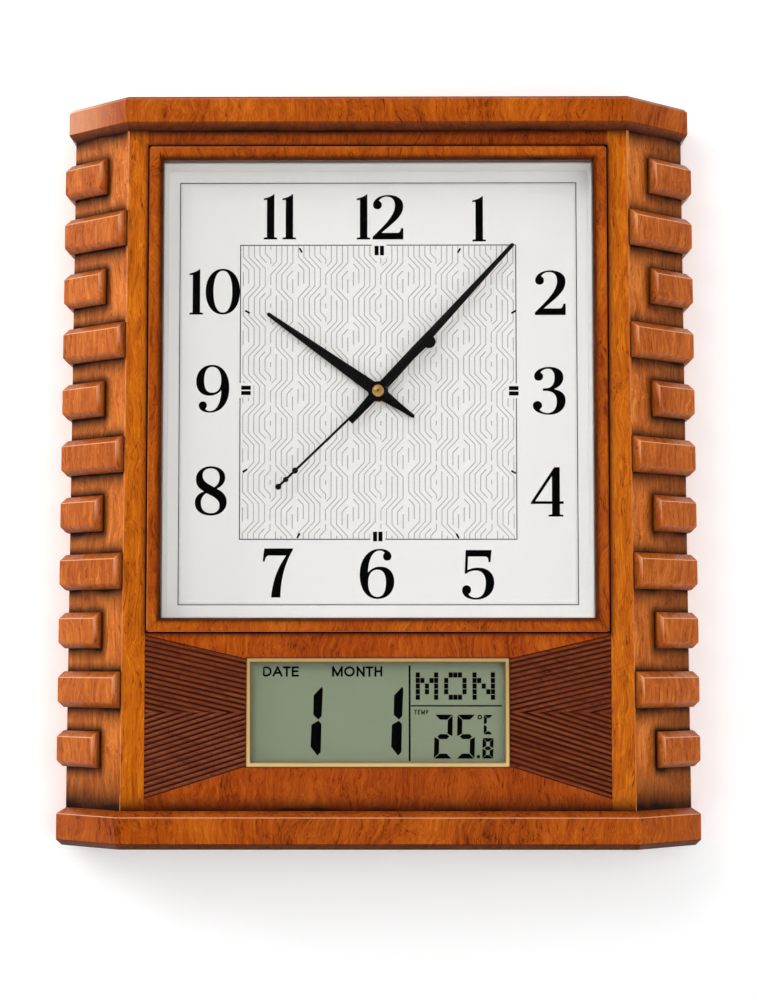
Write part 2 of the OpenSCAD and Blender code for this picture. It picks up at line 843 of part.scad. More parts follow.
// Wheel outline with straight-sided teeth, the first tooth at the angle turn
module toothed(n, m, turn = 0) {
    tip_r = m * (n / 2 + 0.8);
    root_r = m * (n / 2 - 1.15);
    tip_a = 0.3 * m / tip_r * 180 / PI;
    root_a = 0.8 * m / root_r * 180 / PI;
    polygon([for (i = [0 : n - 1], p = [[-root_a, root_r], [-tip_a, tip_r], [tip_a, tip_r], [root_a, root_r]])
        toward(turn + i * 360 / n + p[0], p[1])]);
}

// Layers of the train, from the front of the movement to its back
hour_w0 = 2;
hour_w1 = 3;
cannon_w0 = 3.9;
motion_w0 = 4.1;
motion_w1 = 5.1;
cannon_w1 = 5.4;
centre_w0 = 5.7;
centre_w1 = 6.5;
plate_w0 = 7;
plate_w1 = 7.8;
third_w0 = 8.3;
third_w1 = 9;
stator_w0 = 8.9;
stator_w1 = 9.7;
second_w0 = 9.8;
second_w1 = 10.7;
inter_w0 = 11.2;
inter_w1 = 12;
boss_w0 = 13.2;
cover_w0 = mov_d - mov_wall;
pivot_end = cover_w0 + 0.2;

// Ends of the pipes and the shaft that carry the hands, in front of the movement
hour_pipe_end = -bush_l - 1.7;
minute_pipe_end = hour_pipe_end - 2;
second_shaft_end = minute_pipe_end - 1.7;
hour_hand_w = hour_pipe_end + 0.8;
minute_hand_w = minute_pipe_end + 0.9;
second_hand_w = minute_pipe_end - 0.5;
hand_fit = 0.02;

half_mov = mov_side / 2;
half_bay = half_mov - mov_wall;
cell_r = 7.1;
cell_l = 49.5;
nub_l = 1;
bay_top = -half_bay + 2 * cell_r + 1;
motion_stud_r = 0.6;
knob_shaft_r = 0.8;
train_post_r = 1.3;
train_posts = [[12.3, 5.2], [12.3, -5.2], [-15, 5.2], [-15, -5.2]];
stator_posts = [[-10, 13.6], [-10, -8.4]];
circuit_posts = [[11, 13], [23, 23]];

// Upright round boss with a blind hole in its rear end
module boss(at, r, w0, w1, hole_r, hole_w) {
    difference() {
        mov(w0, w1, at) circle(r);
        mov(hole_w, w1 + 1, at) circle(hole_r);
    }
}

module movement_case() {
    color(grey_plastic) in_place() difference() {
        union() {
            difference() {
                mov(0, cover_w0) half_rect(half_mov, half_mov);
                mov(mov_wall, mov_d) half_rect(half_bay, half_bay);
            }
            mov(-bush_l, mov_wall) circle(bush_r);
            mov(mov_wall, cover_w0) translate([-half_bay, bay_top]) square([2 * half_bay, mov_wall]);
            boss(third_at, 1.3, mov_wall, 3.6, pivot_r + running_fit, 2.2);
            boss(knob_at, 1.6, mov_wall, 3.4, knob_shaft_r + running_fit, 1.9);
            mov(mov_wall, cannon_w1, motion_at) circle(motion_stud_r);
            for (p = train_posts) mov(mov_wall, plate_w0, p) circle(train_post_r);
            for (p = stator_posts) mov(mov_wall, stator_w0, p) circle(1);
            for (p = circuit_posts) mov(mov_wall, stator_w0, p) circle(1.1);
        }
        mov(-bush_l - 1, mov_wall + 1) circle(hour_pipe_r + running_fit);
    }
}

module movement_cover() {
    color(grey_plastic) in_place() difference() {
        union() {
            difference() {
                mov(cover_w0, mov_d) half_rect(half_mov, half_mov);
                mov(cover_w0 - 1, mov_d + 1) translate([-half_bay, -half_bay])
                    square([2 * half_bay, bay_top + half_bay]);
            }
            for (p = [centre_at, third_at, inter_at, rotor_at]) mov(boss_w0, cover_w0, p) circle(1.2);
        }
        for (p = [centre_at, third_at, inter_at, rotor_at])
            mov(boss_w0 - 1, cover_w0 + 0.4, p) circle(pivot_r + running_fit);
        mov(cover_w0 - 1, mov_d + 1, knob_at) circle(knob_shaft_r + running_fit);
    }
}

module movement_gasket() {
    color("#2b2b2b") in_place() mov(-gasket_t, 0) difference() {
        circle(10);
        circle(bush_r + fit);
    }
}

// Slotted ring nut that the hands' hubs hide
module movement_nut() {
    nut_w = -gasket_t - dial_t;
    nut_t = 2;
    nut_r = max(hand_hub_r - 0.2, bush_r + 0.8);
    slot_w = 1.2;
    slot_d = 0.8;
    color(brass) in_place() difference() {
        mov(nut_w - nut_t, nut_w) circle(nut_r);
        mov(nut_w - nut_t - 1, nut_w + 1) circle(bush_r + screw_fit);
        mov(nut_w - nut_t - 1, nut_w - nut_t + slot_d) half_rect(nut_r + 1, slot_w / 2);
    }
}

module train_plate() {
    color(grey_plastic) in_place() difference() {
        mov(plate_w0, plate_w1) translate([-16.4, -6.5]) square([29.9, 13]);
        for (p = [centre_at, third_at])
            mov(plate_w0 - 1, plate_w1 + 1, p) circle(second_shaft_r + running_fit);
        for (p = [inter_at, rotor_at])
            mov(plate_w0 - 1, plate_w1 + 1, p) circle(pivot_r + running_fit);
    }
}

module rotor() {
    color("#4a4d52") in_place() {
        mov(plate_w0 + 0.1, pivot_end, rotor_at) circle(pivot_r);
        mov(8.4, 10.6, rotor_at) circle(2.6);
        mov(10.6, inter_w1 + 0.2, rotor_at)
            toothed(rotor_n, rotor_module, mesh_turn(inter_n, rotor_n, rotor_dir));
    }
}

module intermediate_wheel() {
    color(wheel_plastic) in_place() {
        mov(plate_w0 + 0.1, pivot_end, inter_at) circle(pivot_r);
        mov(second_w0 - 0.2, inter_w0, inter_at)
            toothed(inter_pinion_n, second_module, mesh_turn(second_n, inter_pinion_n, inter_dir));
        mov(inter_w0, inter_w1, inter_at) toothed(inter_n, rotor_module);
    }
}

module second_wheel() {
    color(wheel_plastic) in_place() {
        mov(second_shaft_end, second_w1, centre_at) circle(second_shaft_r);
        mov(second_w1, pivot_end, centre_at) circle(pivot_r);
        mov(third_w0 - 0.1, second_w0, centre_at) toothed(third_pinion_n, third_module);
        mov(second_w0, second_w1, centre_at) toothed(second_n, second_module);
    }
}

module third_wheel() {
    color(wheel_plastic) in_place() {
        mov(2.3, pivot_end, third_at) circle(pivot_r);
        mov(centre_w0 - 0.4, third_w1 + 1, third_at) circle(second_shaft_r);
        mov(centre_w0 - 0.4, plate_w0 - 0.1, third_at) toothed(centre_pinion_n, centre_module);
        mov(third_w0, third_w1, third_at)
            toothed(third_n, third_module, mesh_turn(third_pinion_n, third_n, third_dir));
    }
}

module centre_wheel() {
    color(wheel_plastic) in_place() difference() {
        union() {
            mov(minute_pipe_end, cannon_w0) circle(minute_pipe_r);
            mov(cannon_w0, cannon_w1) toothed(cannon_n, motion_module);
            mov(cannon_w1, plate_w0 - 0.2) circle(minute_pipe_r);
            mov(centre_w0, centre_w1)
                toothed(centre_n, centre_module, mesh_turn(centre_pinion_n, centre_n, third_dir + 180));
        }
        mov(minute_pipe_end - 1, plate_w0) circle(second_shaft_r + running_fit);
    }
}

module motion_wheel() {
    color(wheel_plastic) in_place() difference() {
        union() {
            mov(motion_w0, motion_w1, motion_at)
                toothed(motion_n, motion_module, mesh_turn(cannon_n, motion_n, motion_dir));
            mov(hour_w0 - 0.3, motion_w0, motion_at) toothed(motion_pinion_n, hour_module);
        }
        mov(mov_wall, cannon_w1, motion_at) circle(motion_stud_r + running_fit);
    }
}

module hour_wheel() {
    color(wheel_plastic) in_place() difference() {
        union() {
            mov(hour_pipe_end, hour_w0) circle(hour_pipe_r);
            mov(hour_w0, hour_w1)
                toothed(hour_n, hour_module, mesh_turn(motion_pinion_n, hour_n, motion_dir + 180));
        }
        mov(hour_pipe_end - 1, hour_w1 + 1) circle(minute_pipe_r + running_fit);
    }
}

// The knob's pinion meshes with the motion wheel, whose own turn is carried over
module set_knob() {
    motion_turn = mesh_turn(cannon_n, motion_n, motion_dir);
    knob_turn = motion_dir + 180 + (motion_dir - motion_turn) * motion_n / knob_n + 180 / knob_n;
    shaft_w0 = 2;
    knob_w0 = mov_d + 0.6;
    knob_t = 2.4;
    flute_r = 0.7;
    color(grey_plastic) in_place() {
        mov(shaft_w0, knob_w0, knob_at) circle(knob_shaft_r);
        mov(cannon_w0, cannon_w1, knob_at) toothed(knob_n, motion_module, knob_turn);
        mov(knob_w0, knob_w0 + knob_t, knob_at) difference() {
            circle(knob_r);
            for (a = [0 : 20 : 340]) translate(toward(a, knob_r + 0.3)) circle(flute_r, $fn = 16);
        }
    }
}

// Stator plate: a block round the rotor and two arms to the core inside the coil
core_u = -21.5;
core_w = 2.2;
coil_r = 3.9;
coil_low = -7;
coil_high = 12;

module stator() {
    low = -9.6;
    yoke_u = -16.8;
    yoke_w = 3.2;
    arm_l = 16.4;
    arm_low_h = 2.4;
    arm_high = coil_high + 0.2;
    arm_high_h = 2.8;
    arm_u = core_u - 3.7;
    tall = arm_high + arm_high_h - low;
    block = [8, 8.2];
    rotor_hole_r = 3;
    color(steel) in_place() mov(stator_w0, stator_w1) difference() {
        union() {
            translate([yoke_u, -2.5]) square(block);
            translate([yoke_u, low]) square([yoke_w, tall]);
            translate([arm_u, arm_high]) square([arm_l, arm_high_h]);
            translate([arm_u, low]) square([arm_l, arm_low_h]);
            translate([core_u - core_w / 2, low]) square([core_w, tall]);
        }
        translate(rotor_at) circle(rotor_hole_r);
    }
}

module coil() {
    mid_w = (stator_w0 + stator_w1) / 2;
    core_gap = 0.1;
    flange_t = 0.8;
    winding_r = coil_r - 0.7;
    color("#b5652b") in_place() difference() {
        translate([core_u, y_mov + mid_w, dial_h + coil_low]) {
            cylinder(h = coil_high - coil_low, r = winding_r);
            cylinder(h = flange_t, r = coil_r);
            translate([0, 0, coil_high - coil_low - flange_t]) cylinder(h = flange_t, r = coil_r);
        }
        mov(stator_w0 - core_gap, stator_w1 + core_gap)
            translate([core_u - core_w / 2 - core_gap, coil_low - 1])
                square([core_w + 2 * core_gap, coil_high - coil_low + 2]);
    }
}

// Board with its chip under a round drop of resin and the quartz crystal's can
module movement_circuit() {
    board_w1 = stator_w0 + 1;
    board = [18, 16];
    resin = [2.6, 0.9];
    can = [1, 3.6, 1.6];
    color(board_green) in_place() {
        mov(stator_w0, board_w1) translate([8, 10]) square(board);
        mov(board_w1, board_w1 + resin[1], [14, 16]) circle(resin[0]);
        mov(board_w1, board_w1 + can[2], [21.5, 17]) half_rect(can[0], can[1]);
    }
}

// AA cell along X with its positive end to the right
module aa_cell(x, y, z) {
    translate([x, y, z]) rotate([0, 90, 0]) {
        cylinder(h = cell_l, r = cell_r);
        cylinder(h = cell_l + nub_l, r = 2.7);
    }
}

// Sheet-metal contacts at the two ends of a cell, the minus end with its spring
contact_t = 0.4;
spring_l = 1.1;

module cell_contacts(x, y, z, h) {
    translate([x - spring_l - contact_t, y - h / 2, z - h / 2]) cube([contact_t, h, h]);
    translate([x - spring_l, y, z]) rotate([0, 90, 0]) cylinder(h = spring_l, r = 3);
    translate([x + cell_l + nub_l, y - h / 2, z - h / 2]) cube([contact_t, h, h]);
}

mov_cell_x = -half_bay + contact_t + spring_l + fit;
mov_cell_y = y_mov + mov_wall + fit + cell_r;
mov_cell_z = dial_h - half_bay + cell_r + fit;

// Calendar module, counted back from the panel: window, display cell, board, cell, rear wall
y_window_back = y_trim_back + window_t;
y_cell_back = y_window_back + cell_t;
y_circuit = y_panel_back + 2.5;
circuit_t = 1.6;
y_circuit_back = y_circuit + circuit_t;
cal_cell_y = y_circuit_back + 0.6 + cell_r;
y_module_floor = cal_cell_y + cell_r + 0.6;
y_module_back = y_module_floor + module_wall;
cal_cell_x = -50;
cal_cell_z = lcd_h - 12;
ear_t = 2;
ear_l = 9;
module_grip = 5;
module_screw_x = module_x + ear_l / 2 + 0.5;
module_screw_z = 22;
button_z = lcd_h + 17;
bay_x0 = cal_cell_x - spring_l - contact_t;
bay_x1 = cal_cell_x + cell_l + nub_l + contact_t;

module module_screws_at() {
    for (sx = [-1, 1], sz = [-1, 1])
        translate([sx * module_screw_x, 0, lcd_h + sz * module_screw_z]) children();
}

module battery_cells() {
    color("#2f4f8f") in_place() {
        aa_cell(mov_cell_x, mov_cell_y, mov_cell_z);
        aa_cell(cal_cell_x, cal_cell_y, cal_cell_z);
    }
}

module battery_contacts() {
    color(steel) in_place() {
        cell_contacts(mov_cell_x, mov_cell_y, mov_cell_z, 10);
        cell_contacts(cal_cell_x, cal_cell_y, cal_cell_z, 10);
    }
}

module lcd_trim() {
    color(brass) in_place() facing(y_front - trim_proud, y_trim_back, [0, lcd_h]) difference() {
        half_rect(trim_w / 2, trim_h / 2);
        half_rect(trim_w / 2 - trim_face, trim_h / 2 - trim_face);
    }
}

module lcd_window() {
    color("lightcyan", 0.3) in_place() facing(y_trim_back, y_window_back, [0, lcd_h])
        half_rect(cell_hole_x - fit, cell_hole_z - fit);
}

module lcd_panel() {
    color("#8a957c") in_place() facing(y_window_back, y_cell_back, [0, lcd_h])
        half_rect(cell_hole_x - fit, cell_hole_z - fit);
}

// Rubber connector strips along the top and bottom of the cell
zebra_w = 2.4;
zebra_inset = 3.4;
zebra_short = 5.5;

module zebra_strips() {
    color("#d9a6a0") in_place() for (s = [-1, 1])
        facing(y_cell_back, y_circuit, [0, lcd_h + s * (cell_hole_z - zebra_inset)])
            half_rect(cell_hole_x - zebra_short, zebra_w / 2);
}

// Board with a switch under each button, the clock chip and the temperature sensor's bead
switch_h = 3.6;
switch_s = 6;
board_inset = 6;
board_rise = 1.6;
chip_r = 4;
chip_h = 1;
bead_r = 1.6;
bead_h = 2.4;

module calendar_circuit() {
    bead_x = module_x - board_inset - 4;
    color(board_green) in_place() {
        facing(y_circuit, y_circuit_back, [0, lcd_h])
            half_rect(module_x - board_inset, cell_hole_z + board_rise);
        for (k = [-1, 0, 1])
            facing(y_circuit_back, y_circuit_back + switch_h, [k * button_pitch, button_z])
                half_rect(switch_s / 2, switch_s / 2);
        facing(y_circuit_back, y_circuit_back + chip_h, [36, lcd_h + 6]) circle(chip_r);
        facing(y_circuit_back, y_circuit_back + bead_h, [bead_x, lcd_h - 4]) circle(bead_r);
    }
}

// Sliding door over the cell: its plate runs between two rails on the housing
door_x0 = bay_x0 - 3;
door_x1 = bay_x1 + 3;
door_half_h = cell_r + 2.7;
door_t = 1.6;
door_slide = door_x1 - door_x0;
y_door = y_module_back + 0.1;
rail_lip = 1;
door_rail_w = 2;
door_rail_d = door_t + 0.3;
door_rail_x = door_x0 - 2;
stop_t = 1.9;

module door_rail(s) {
    z_edge = cal_cell_z + s * (door_half_h + fit);
    low = s > 0 ? 0 : door_rail_w;
    rail_l = door_x1 + door_slide + 1 - door_rail_x;
    translate([door_rail_x, y_module_back, z_edge - low]) cube([rail_l, door_rail_d, door_rail_w]);
    translate([door_rail_x, y_module_back + door_rail_d, z_edge - (s > 0 ? rail_lip : door_rail_w)])
        cube([rail_l, rail_lip, door_rail_w + rail_lip]);
}

// Open box with ears, a bay for the cell, holes for the buttons and slots by the sensor
module calendar_housing() {
    hx = module_x;
    hz = module_z;
    vent = [6, 9, 1.6];
    vent_pitch = 4;
    bay_wall = 1.2;
    bay_gap = 0.3;
    bay_h = 14;
    post_r = 2;
    post_inset = 10;
    color(grey_plastic) in_place() {
        difference() {
            union() {
                difference() {
                    facing(y_panel_back, y_module_back, [0, lcd_h]) half_rect(hx, hz);
                    facing(y_panel_back - 1, y_module_floor, [0, lcd_h])
                        half_rect(hx - module_wall, hz - module_wall);
                }
                for (s = [-1, 1]) facing(y_panel_back, y_panel_back + ear_t,
                    [s * (hx + ear_l / 2), lcd_h]) half_rect(ear_l / 2, module_screw_z + 5);
            }
            facing(y_module_floor - 1, y_module_back + 1, [(bay_x0 + bay_x1) / 2, cal_cell_z])
                half_rect((bay_x1 - bay_x0) / 2, cell_r + 0.5);
            for (k = [-1, 0, 1]) facing(y_module_floor - 1, y_module_back + 1, [k * button_pitch, button_z])
                circle(button_r + fit);
            module_screws_at() facing(y_panel_back - 1, y_panel_back + ear_t + 1) screw_hole();
            for (k = [0 : 3]) translate([hx - vent.x / 2, y_panel_back + 8, lcd_h - 10 + vent_pitch * k])
                cube(vent);
        }
        for (x = [bay_x0 - bay_wall, bay_x1]) translate([x, y_circuit_back + bay_gap, cal_cell_z - bay_h / 2])
            cube([bay_wall, y_module_floor - y_circuit_back - bay_gap, bay_h]);
        for (sx = [-1, 1], sz = [-1, 1])
            facing(y_circuit_back, y_module_floor, [sx * (hx - post_inset), lcd_h + sz * (cell_hole_z - 1)])
                circle(post_r);
        for (s = [-1, 1]) door_rail(s);
        translate([door_rail_x, y_module_back, cal_cell_z - door_half_h - fit])
            cube([stop_t, door_rail_d, 2 * (door_half_h + fit)]);
    }
}

module calendar_door() {
    grip_x = door_x1 - 10;
    grip_pitch = 1.6;
    ridge = [0.8, 0.7, 10];
    color(grey_plastic) in_place() {
        translate([door_x0, y_door, cal_cell_z - door_half_h])
            cube([door_x1 - door_x0, door_t, 2 * door_half_h]);
        for (k = [0 : 4])
            translate([grip_x + grip_pitch * k, y_door + door_t, cal_cell_z - ridge.z / 2]) cube(ridge);
    }
}

// Push button: cap outside, flange inside the rear wall, stem to its switch
module push_button(k) {
    flange_t = 1;
    flange_r = button_r + 1;
    stem_r = 1.5;
    cap_proud = 2;
    stem_gap = button_travel + fit;
    color("#3a3a3c") in_place() translate([k * button_pitch, 0, button_z]) {
        facing(y_module_floor - fit - flange_t, y_module_back + cap_proud) circle(button_r);
        facing(y_module_floor - fit - flange_t, y_module_floor - fit) circle(flange_r);
        facing(y_circuit_back + switch_h + stem_gap, y_module_floor - fit - flange_t) circle(stem_r);
    }
}

module mode_button() {
    push_button(-1);
}

module plus_button() {
    push_button(0);
}

module minus_button() {
    push_button(1);
}

// Hands: flat outlines pointing to 12, turned clockwise by their angles
module hand(w, angle) {
    translate([0, y_mov + w, dial_h]) rotate([90, 0, 0]) rotate(-angle) linear_extrude(hand_t) children();
}

// Outline of a hand from its widths at distances along it, with a round end of its own width
module blade(spots) {
    tip = spots[len(spots) - 1];
    polygon(concat([for (p = spots) [-p[1] / 2, p[0]]],
        [for (i = [len(spots) - 1 : -1 : 0]) [spots[i][1] / 2, spots[i][0]]]));
    translate([0, tip[0]]) circle(tip[1] / 2);
}

module hour_hand() {
    tip_r = hand_tip_w / 2;
    color(black) in_place() hand(hour_hand_w, hour_angle) difference() {
        union() {
            blade([[0, hour_w], [hour_l - tip_r, hand_tip_w]]);
            blade([[0, hour_w], [-hour_tail * 0.62, hour_w * 0.48], [tip_r - hour_tail, hand_tip_w]]);
            circle(hand_hub_r);
        }
        circle(hour_pipe_r + hand_fit);
    }
}

// The minute hand is nearly parallel near the hub, and its tail is cut off square
module minute_hand() {
    tip_r = hand_tip_w / 2;
    tail_w = minute_w * 0.62;
    color(black) in_place() hand(minute_hand_w, minute_angle) difference() {
        union() {
            blade([[0, minute_w], [minute_l * 0.28, minute_w * 0.9], [minute_l * 0.42, minute_w * 0.75],
                [minute_l - tip_r, hand_tip_w]]);
            polygon([[-minute_w * 0.46, 0], [-tail_w / 2, -minute_tail], [tail_w / 2, -minute_tail],
                [minute_w * 0.46, 0]]);
            circle(hand_hub_r);
        }
        circle(minute_pipe_r + hand_fit);
    }
}

// Thin rod with three beads at its tip and a strip to its round counterweight
module second_hand() {
    hub_r = 3.7;
    weight_r = 3.3;
    strip_w = 2;
    beads = [[0, 1.5], [5.4, 1.35], [11.7, 1.55]];
    color(black) in_place() hand(second_hand_w, second_angle) difference() {
        union() {
            translate([-second_w / 2, -second_tail]) square([second_w, second_l + second_tail]);
            translate([-strip_w / 2, -second_tail]) square([strip_w, second_tail]);
            translate([0, -second_tail]) circle(weight_r);
            for (b = beads) translate([0, second_l - b[0] - b[1]]) circle(b[1]);
            circle(hub_r);
        }
        circle(second_shaft_r + hand_fit);
    }
}

// Domed brass cap on the second hand's shaft
module hand_cap() {
    cap_r = 3;
    cap_h = 1.8;
    edge_h = 0.7;
    y = y_mov + second_hand_w - hand_t;
    bore_r = second_shaft_r + hand_fit;
    dome = [for (a = [0 : 10 : 80]) [cap_r * cos(a), edge_h + (cap_h - edge_h) * sin(a)]];
    color(brass) in_place() translate([0, y, dial_h]) rotate([90, 0, 0]) rotate_extrude()
        polygon(concat([[bore_r, 0], [cap_r, 0]], dome, [[bore_r, cap_h]]));
}

top_cornice();
base_plinth();
front_top_rail();
left_stile();
right_stile();
lower_panel();
left_cheek();
right_cheek();
left_side();
right_side();
left_blocks();
right_blocks();
frame_top_rail();
frame_bottom_rail();
frame_left_rail();
frame_right_rail();
left_reeded_wing();
right_reeded_wing();
dial_glass();
dial_surround();
dial_plate();
case_blocks();
pan_screws();
hour_hand();
minute_hand();
second_hand();
hand_cap();
movement_case();
movement_cover();
movement_gasket();
movement_nut();
train_plate();
rotor();
intermediate_wheel();
second_wheel();
third_wheel();
centre_wheel();
motion_wheel();
hour_wheel();
set_knob();
coil();
stator();
movement_circuit();
battery_cells();
battery_contacts();
lcd_trim();
lcd_window();
lcd_panel();
zebra_strips();
calendar_circuit();
calendar_housing();
calendar_door();
mode_button();
plus_button();
minus_button();
back_board();
hanger_rail();
hanger_plate();
countersunk_screws();
wall_pads();
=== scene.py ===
"""Wall clock with a square dial above a calendar display, dressed around its CAD frame.

Lengths are written in millimetres and turned to metres. The wall is the plane Y = 0, the front
faces -Y, and the origin is the centre of the keyhole that hangs the clock.
"""
import math
from contextlib import contextmanager

import bpy
from bpy.props import FloatProperty, FloatVectorProperty, PointerProperty
from bpy.types import Operator, Panel, PropertyGroup
from mathutils import Matrix, Vector


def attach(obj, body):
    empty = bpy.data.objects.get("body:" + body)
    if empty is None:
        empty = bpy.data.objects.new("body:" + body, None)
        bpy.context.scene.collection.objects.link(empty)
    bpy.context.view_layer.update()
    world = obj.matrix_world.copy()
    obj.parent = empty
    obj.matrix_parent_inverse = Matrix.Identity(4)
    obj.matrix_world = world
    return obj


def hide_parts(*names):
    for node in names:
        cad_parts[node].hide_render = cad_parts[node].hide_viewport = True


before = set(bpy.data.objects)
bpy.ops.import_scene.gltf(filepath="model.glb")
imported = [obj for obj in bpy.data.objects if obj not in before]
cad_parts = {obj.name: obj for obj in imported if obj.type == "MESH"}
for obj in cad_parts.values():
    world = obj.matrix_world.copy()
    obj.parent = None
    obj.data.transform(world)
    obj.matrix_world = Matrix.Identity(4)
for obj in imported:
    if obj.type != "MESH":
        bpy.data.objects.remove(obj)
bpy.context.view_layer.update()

bl_info = {
    "name": "Calendar wall clock",
    "version": (1, 0, 0),
    "blender": (4, 5, 0),
    "location": "3D View > Sidebar > Clock",
    "description": "Builds the finished look of a wooden wall clock with a calendar display",
    "category": "Object",
}

MM = 0.001
# Points of a mesh that lie closer than this are one
MERGE = 0.001 * MM

# Places that the pieces share, in millimetres in the clock's own space. The case leans outwards
# to its foot, so what lies across it is given at mid height.
DIAL_Z = -107.7
DISPLAY_Z = -269.0
HEAD_Z = 22.0
FOOT_Z = -317.2
PANEL_Y = -54.0
CORNER_Y = -27.0
DIAL_Y = -31.2
TRIM_Y = -54.9
CORNER_X = 125.7
SIDE_X = 156.5
FRAME_HALF = (114.5, 121.6)

# A cheek's length, and the way it runs: outwards and back
CHEEK_L = math.hypot(SIDE_X - CORNER_X, CORNER_Y - PANEL_Y)
CHEEK_RUN = ((SIDE_X - CORNER_X) / CHEEK_L, (CORNER_Y - PANEL_Y) / CHEEK_L)

# The side blocks: their number, half their height, where a short and a long one start along the
# cheek, how far the first is below the cornice, and their pitch, which grows downwards
BLOCK_COUNT = 11
BLOCK_HALF = 9.0
BLOCK_START = (15.2, 0.4)
BLOCK_DROP = 21.1
BLOCK_PITCH = 28
BLOCK_PITCH_GROWTH = 0.19

# Names of two finish slots of the record
CARD = "white_card"
BLACK = "black_enamel"


# Sizes and colours

def linear(code):
    """An sRGB hex colour as linear red, green and blue."""
    parts = [int(code[i:i + 2], 16) / 255 for i in (1, 3, 5)]
    return [c / 12.92 if c <= 0.04045 else ((c + 0.055) / 1.055) ** 2.4 for c in parts]


def length(name, text, millimetres):
    """A size that a user can change."""
    return FloatProperty(name=name, description=text, default=millimetres * MM, min=0.0,
                         precision=5, unit="LENGTH")


def colour(name, text, code):
    """A colour that a user can change."""
    return FloatVectorProperty(name=name, description=text, default=linear(code), size=3,
                               min=0.0, max=1.0, subtype="COLOR")


class ClockSizes(PropertyGroup):
    """Sizes of the finish that the CAD frame doesn't hold."""
    wood_edge: length("Wood edge", "Rounding of the mouldings' edges", 0.35)
    rail_edge: length("Rail edge", "Rounding of the dial frame's edges", 0.4)
    small_edge: length("Small edge", "Rounding of moulded and metal edges", 0.2)
    hand_ridge: length("Hand ridge", "Height of the pressed ridge along a hand", 0.35)
    print_step: length("Print step", "Thickness of a printed layer", 0.02)
    border_line: length("Border line", "Width of the printed border lines", 0.7)
    pattern_line: length("Pattern line", "Width of the dial's fine lines", 0.42)
    bar_width: length("Bar width", "Width of an hour bar", 2.1)
    bar_length: length("Bar length", "Length of an hour bar", 4.9)
    bar_gap: length("Bar gap", "Gap between the two bars of an hour", 0.6)
    tick_length: length("Tick length", "Length of an hour tick", 2.7)


class ClockColours(PropertyGroup):
    """Colours that a user would change."""
    veneer: colour("Veneer", "Lacquered veneer of the stiles", "#be5f08")
    moulding: colour("Moulding", "Lacquered veneer of the mouldings", "#a94c08")
    block: colour("Blocks", "Lacquered veneer of the side blocks", "#b95c1b")
    cheek: colour("Cheek", "Lacquered veneer of the slanted cheeks", "#cb6c26")
    panel: colour("Panel", "Lacquered veneer round the display", "#a04308")
    # Dark stain in the corners, and the colour of the shade painted there
    stain_and_painted_light: colour("Burnish", "Dark shading of the stain in the corners", "#1f0a04")
    # Painted highlights along the edges and on the cornice's left end
    painted_highlight: colour("Worn edge", "Stain rubbed pale along the edges", "#e8ab86")
    reed: colour("Reeds", "Dark stained wood of the reeded wings", "#7b3413")
    card: colour("Dial card", "Printed card of the dial", "#fbfaf8")
    surround: colour("Surround", "White plastic round the dial", "#fbf9f6")
    line: colour("Fine lines", "Lines printed on the dial", "#c6bbad")
    border: colour("Border", "Border lines printed on the dial", "#39302c")
    ink: colour("Ink", "Numerals and hour bars", "#040404")
    enamel: colour("Enamel", "Painted hands", "#060606")
    brass: colour("Brass", "Hub cap of the hands", "#dcae60")
    trim: colour("Trim", "Gold trim round the display", "#f3cd86")
    display: colour("Display", "Unlit liquid crystal", "#919c82")
    back: colour("Back board", "Rear of the case", "#7d5a3a")


# Shaping

def only(piece):
    """Leaves just this piece selected, and active."""
    bpy.ops.object.select_all(action="DESELECT")
    piece.select_set(True)
    bpy.context.view_layer.objects.active = piece


@contextmanager
def editing(piece):
    """Opens a piece in edit mode with all of it selected."""
    only(piece)
    bpy.ops.object.mode_set(mode="EDIT")
    bpy.ops.mesh.select_all(action="SELECT")
    yield
    bpy.ops.object.mode_set(mode="OBJECT")


def finished(piece, name, body, material):
    """Names a piece, puts its place in its mesh, dresses it and hangs it on its body."""
    only(piece)
    bpy.ops.object.transform_apply(location=True, rotation=True, scale=True)
    piece.name = name
    piece.data.name = name
    piece.data.materials.clear()
    piece.data.materials.append(material)
    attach(piece, body)


def copy_of(node):
    """A piece with a CAD node's form, its loose triangles merged and its flats made whole."""
    piece = bpy.data.objects.new(node + "_form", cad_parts[node].data.copy())
    bpy.context.scene.collection.objects.link(piece)
    piece.data.polygons.foreach_set("material_index", [0] * len(piece.data.polygons))
    with editing(piece):
        bpy.ops.mesh.customdata_custom_splitnormals_clear()
        bpy.ops.mesh.remove_doubles(threshold=MERGE)
        bpy.ops.mesh.dissolve_limited(angle_limit=math.radians(0.4))
    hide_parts(node)
    return piece


def shift_points(piece, chosen, offset):
    """Moves the points of a piece that a rule picks by their place."""
    for v in piece.data.vertices:
        v.select = chosen(v.co)
    only(piece)
    bpy.ops.object.mode_set(mode="EDIT")
    bpy.ops.mesh.select_mode(type="VERT")
    bpy.ops.transform.translate(value=offset)
    bpy.ops.object.mode_set(mode="OBJECT")


def soften(piece, width, segments=3, angle=25):
    """Rounds a piece's edges over and shades it smooth between its flats."""
    only(piece)
    bpy.ops.object.shade_smooth()
    bevel = piece.modifiers.new("soft edges", "BEVEL")
    bevel.width = width
    bevel.segments = segments
    bevel.limit_method = "ANGLE"
    bevel.angle_limit = math.radians(angle)
    bevel.harden_normals = True
    bpy.ops.object.modifier_apply(modifier=bevel.name)


def dress(nodes, material):
    """Gives CAD nodes that stay as they are a finish of their own."""
    for node in nodes:
        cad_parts[node].data.materials.clear()
        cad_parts[node].data.materials.append(material)


def reworked(node, name, body, material, edge, segments=3, angle=25, rule=None):
    """A CAD node's form with rounded edges, shaded by a rule if it has one, and dressed."""
    piece = copy_of(node)
    soften(piece, edge, segments, angle)
    if rule:
        stain_and_painted_light(piece, rule)
    finished(piece, name, body, material)


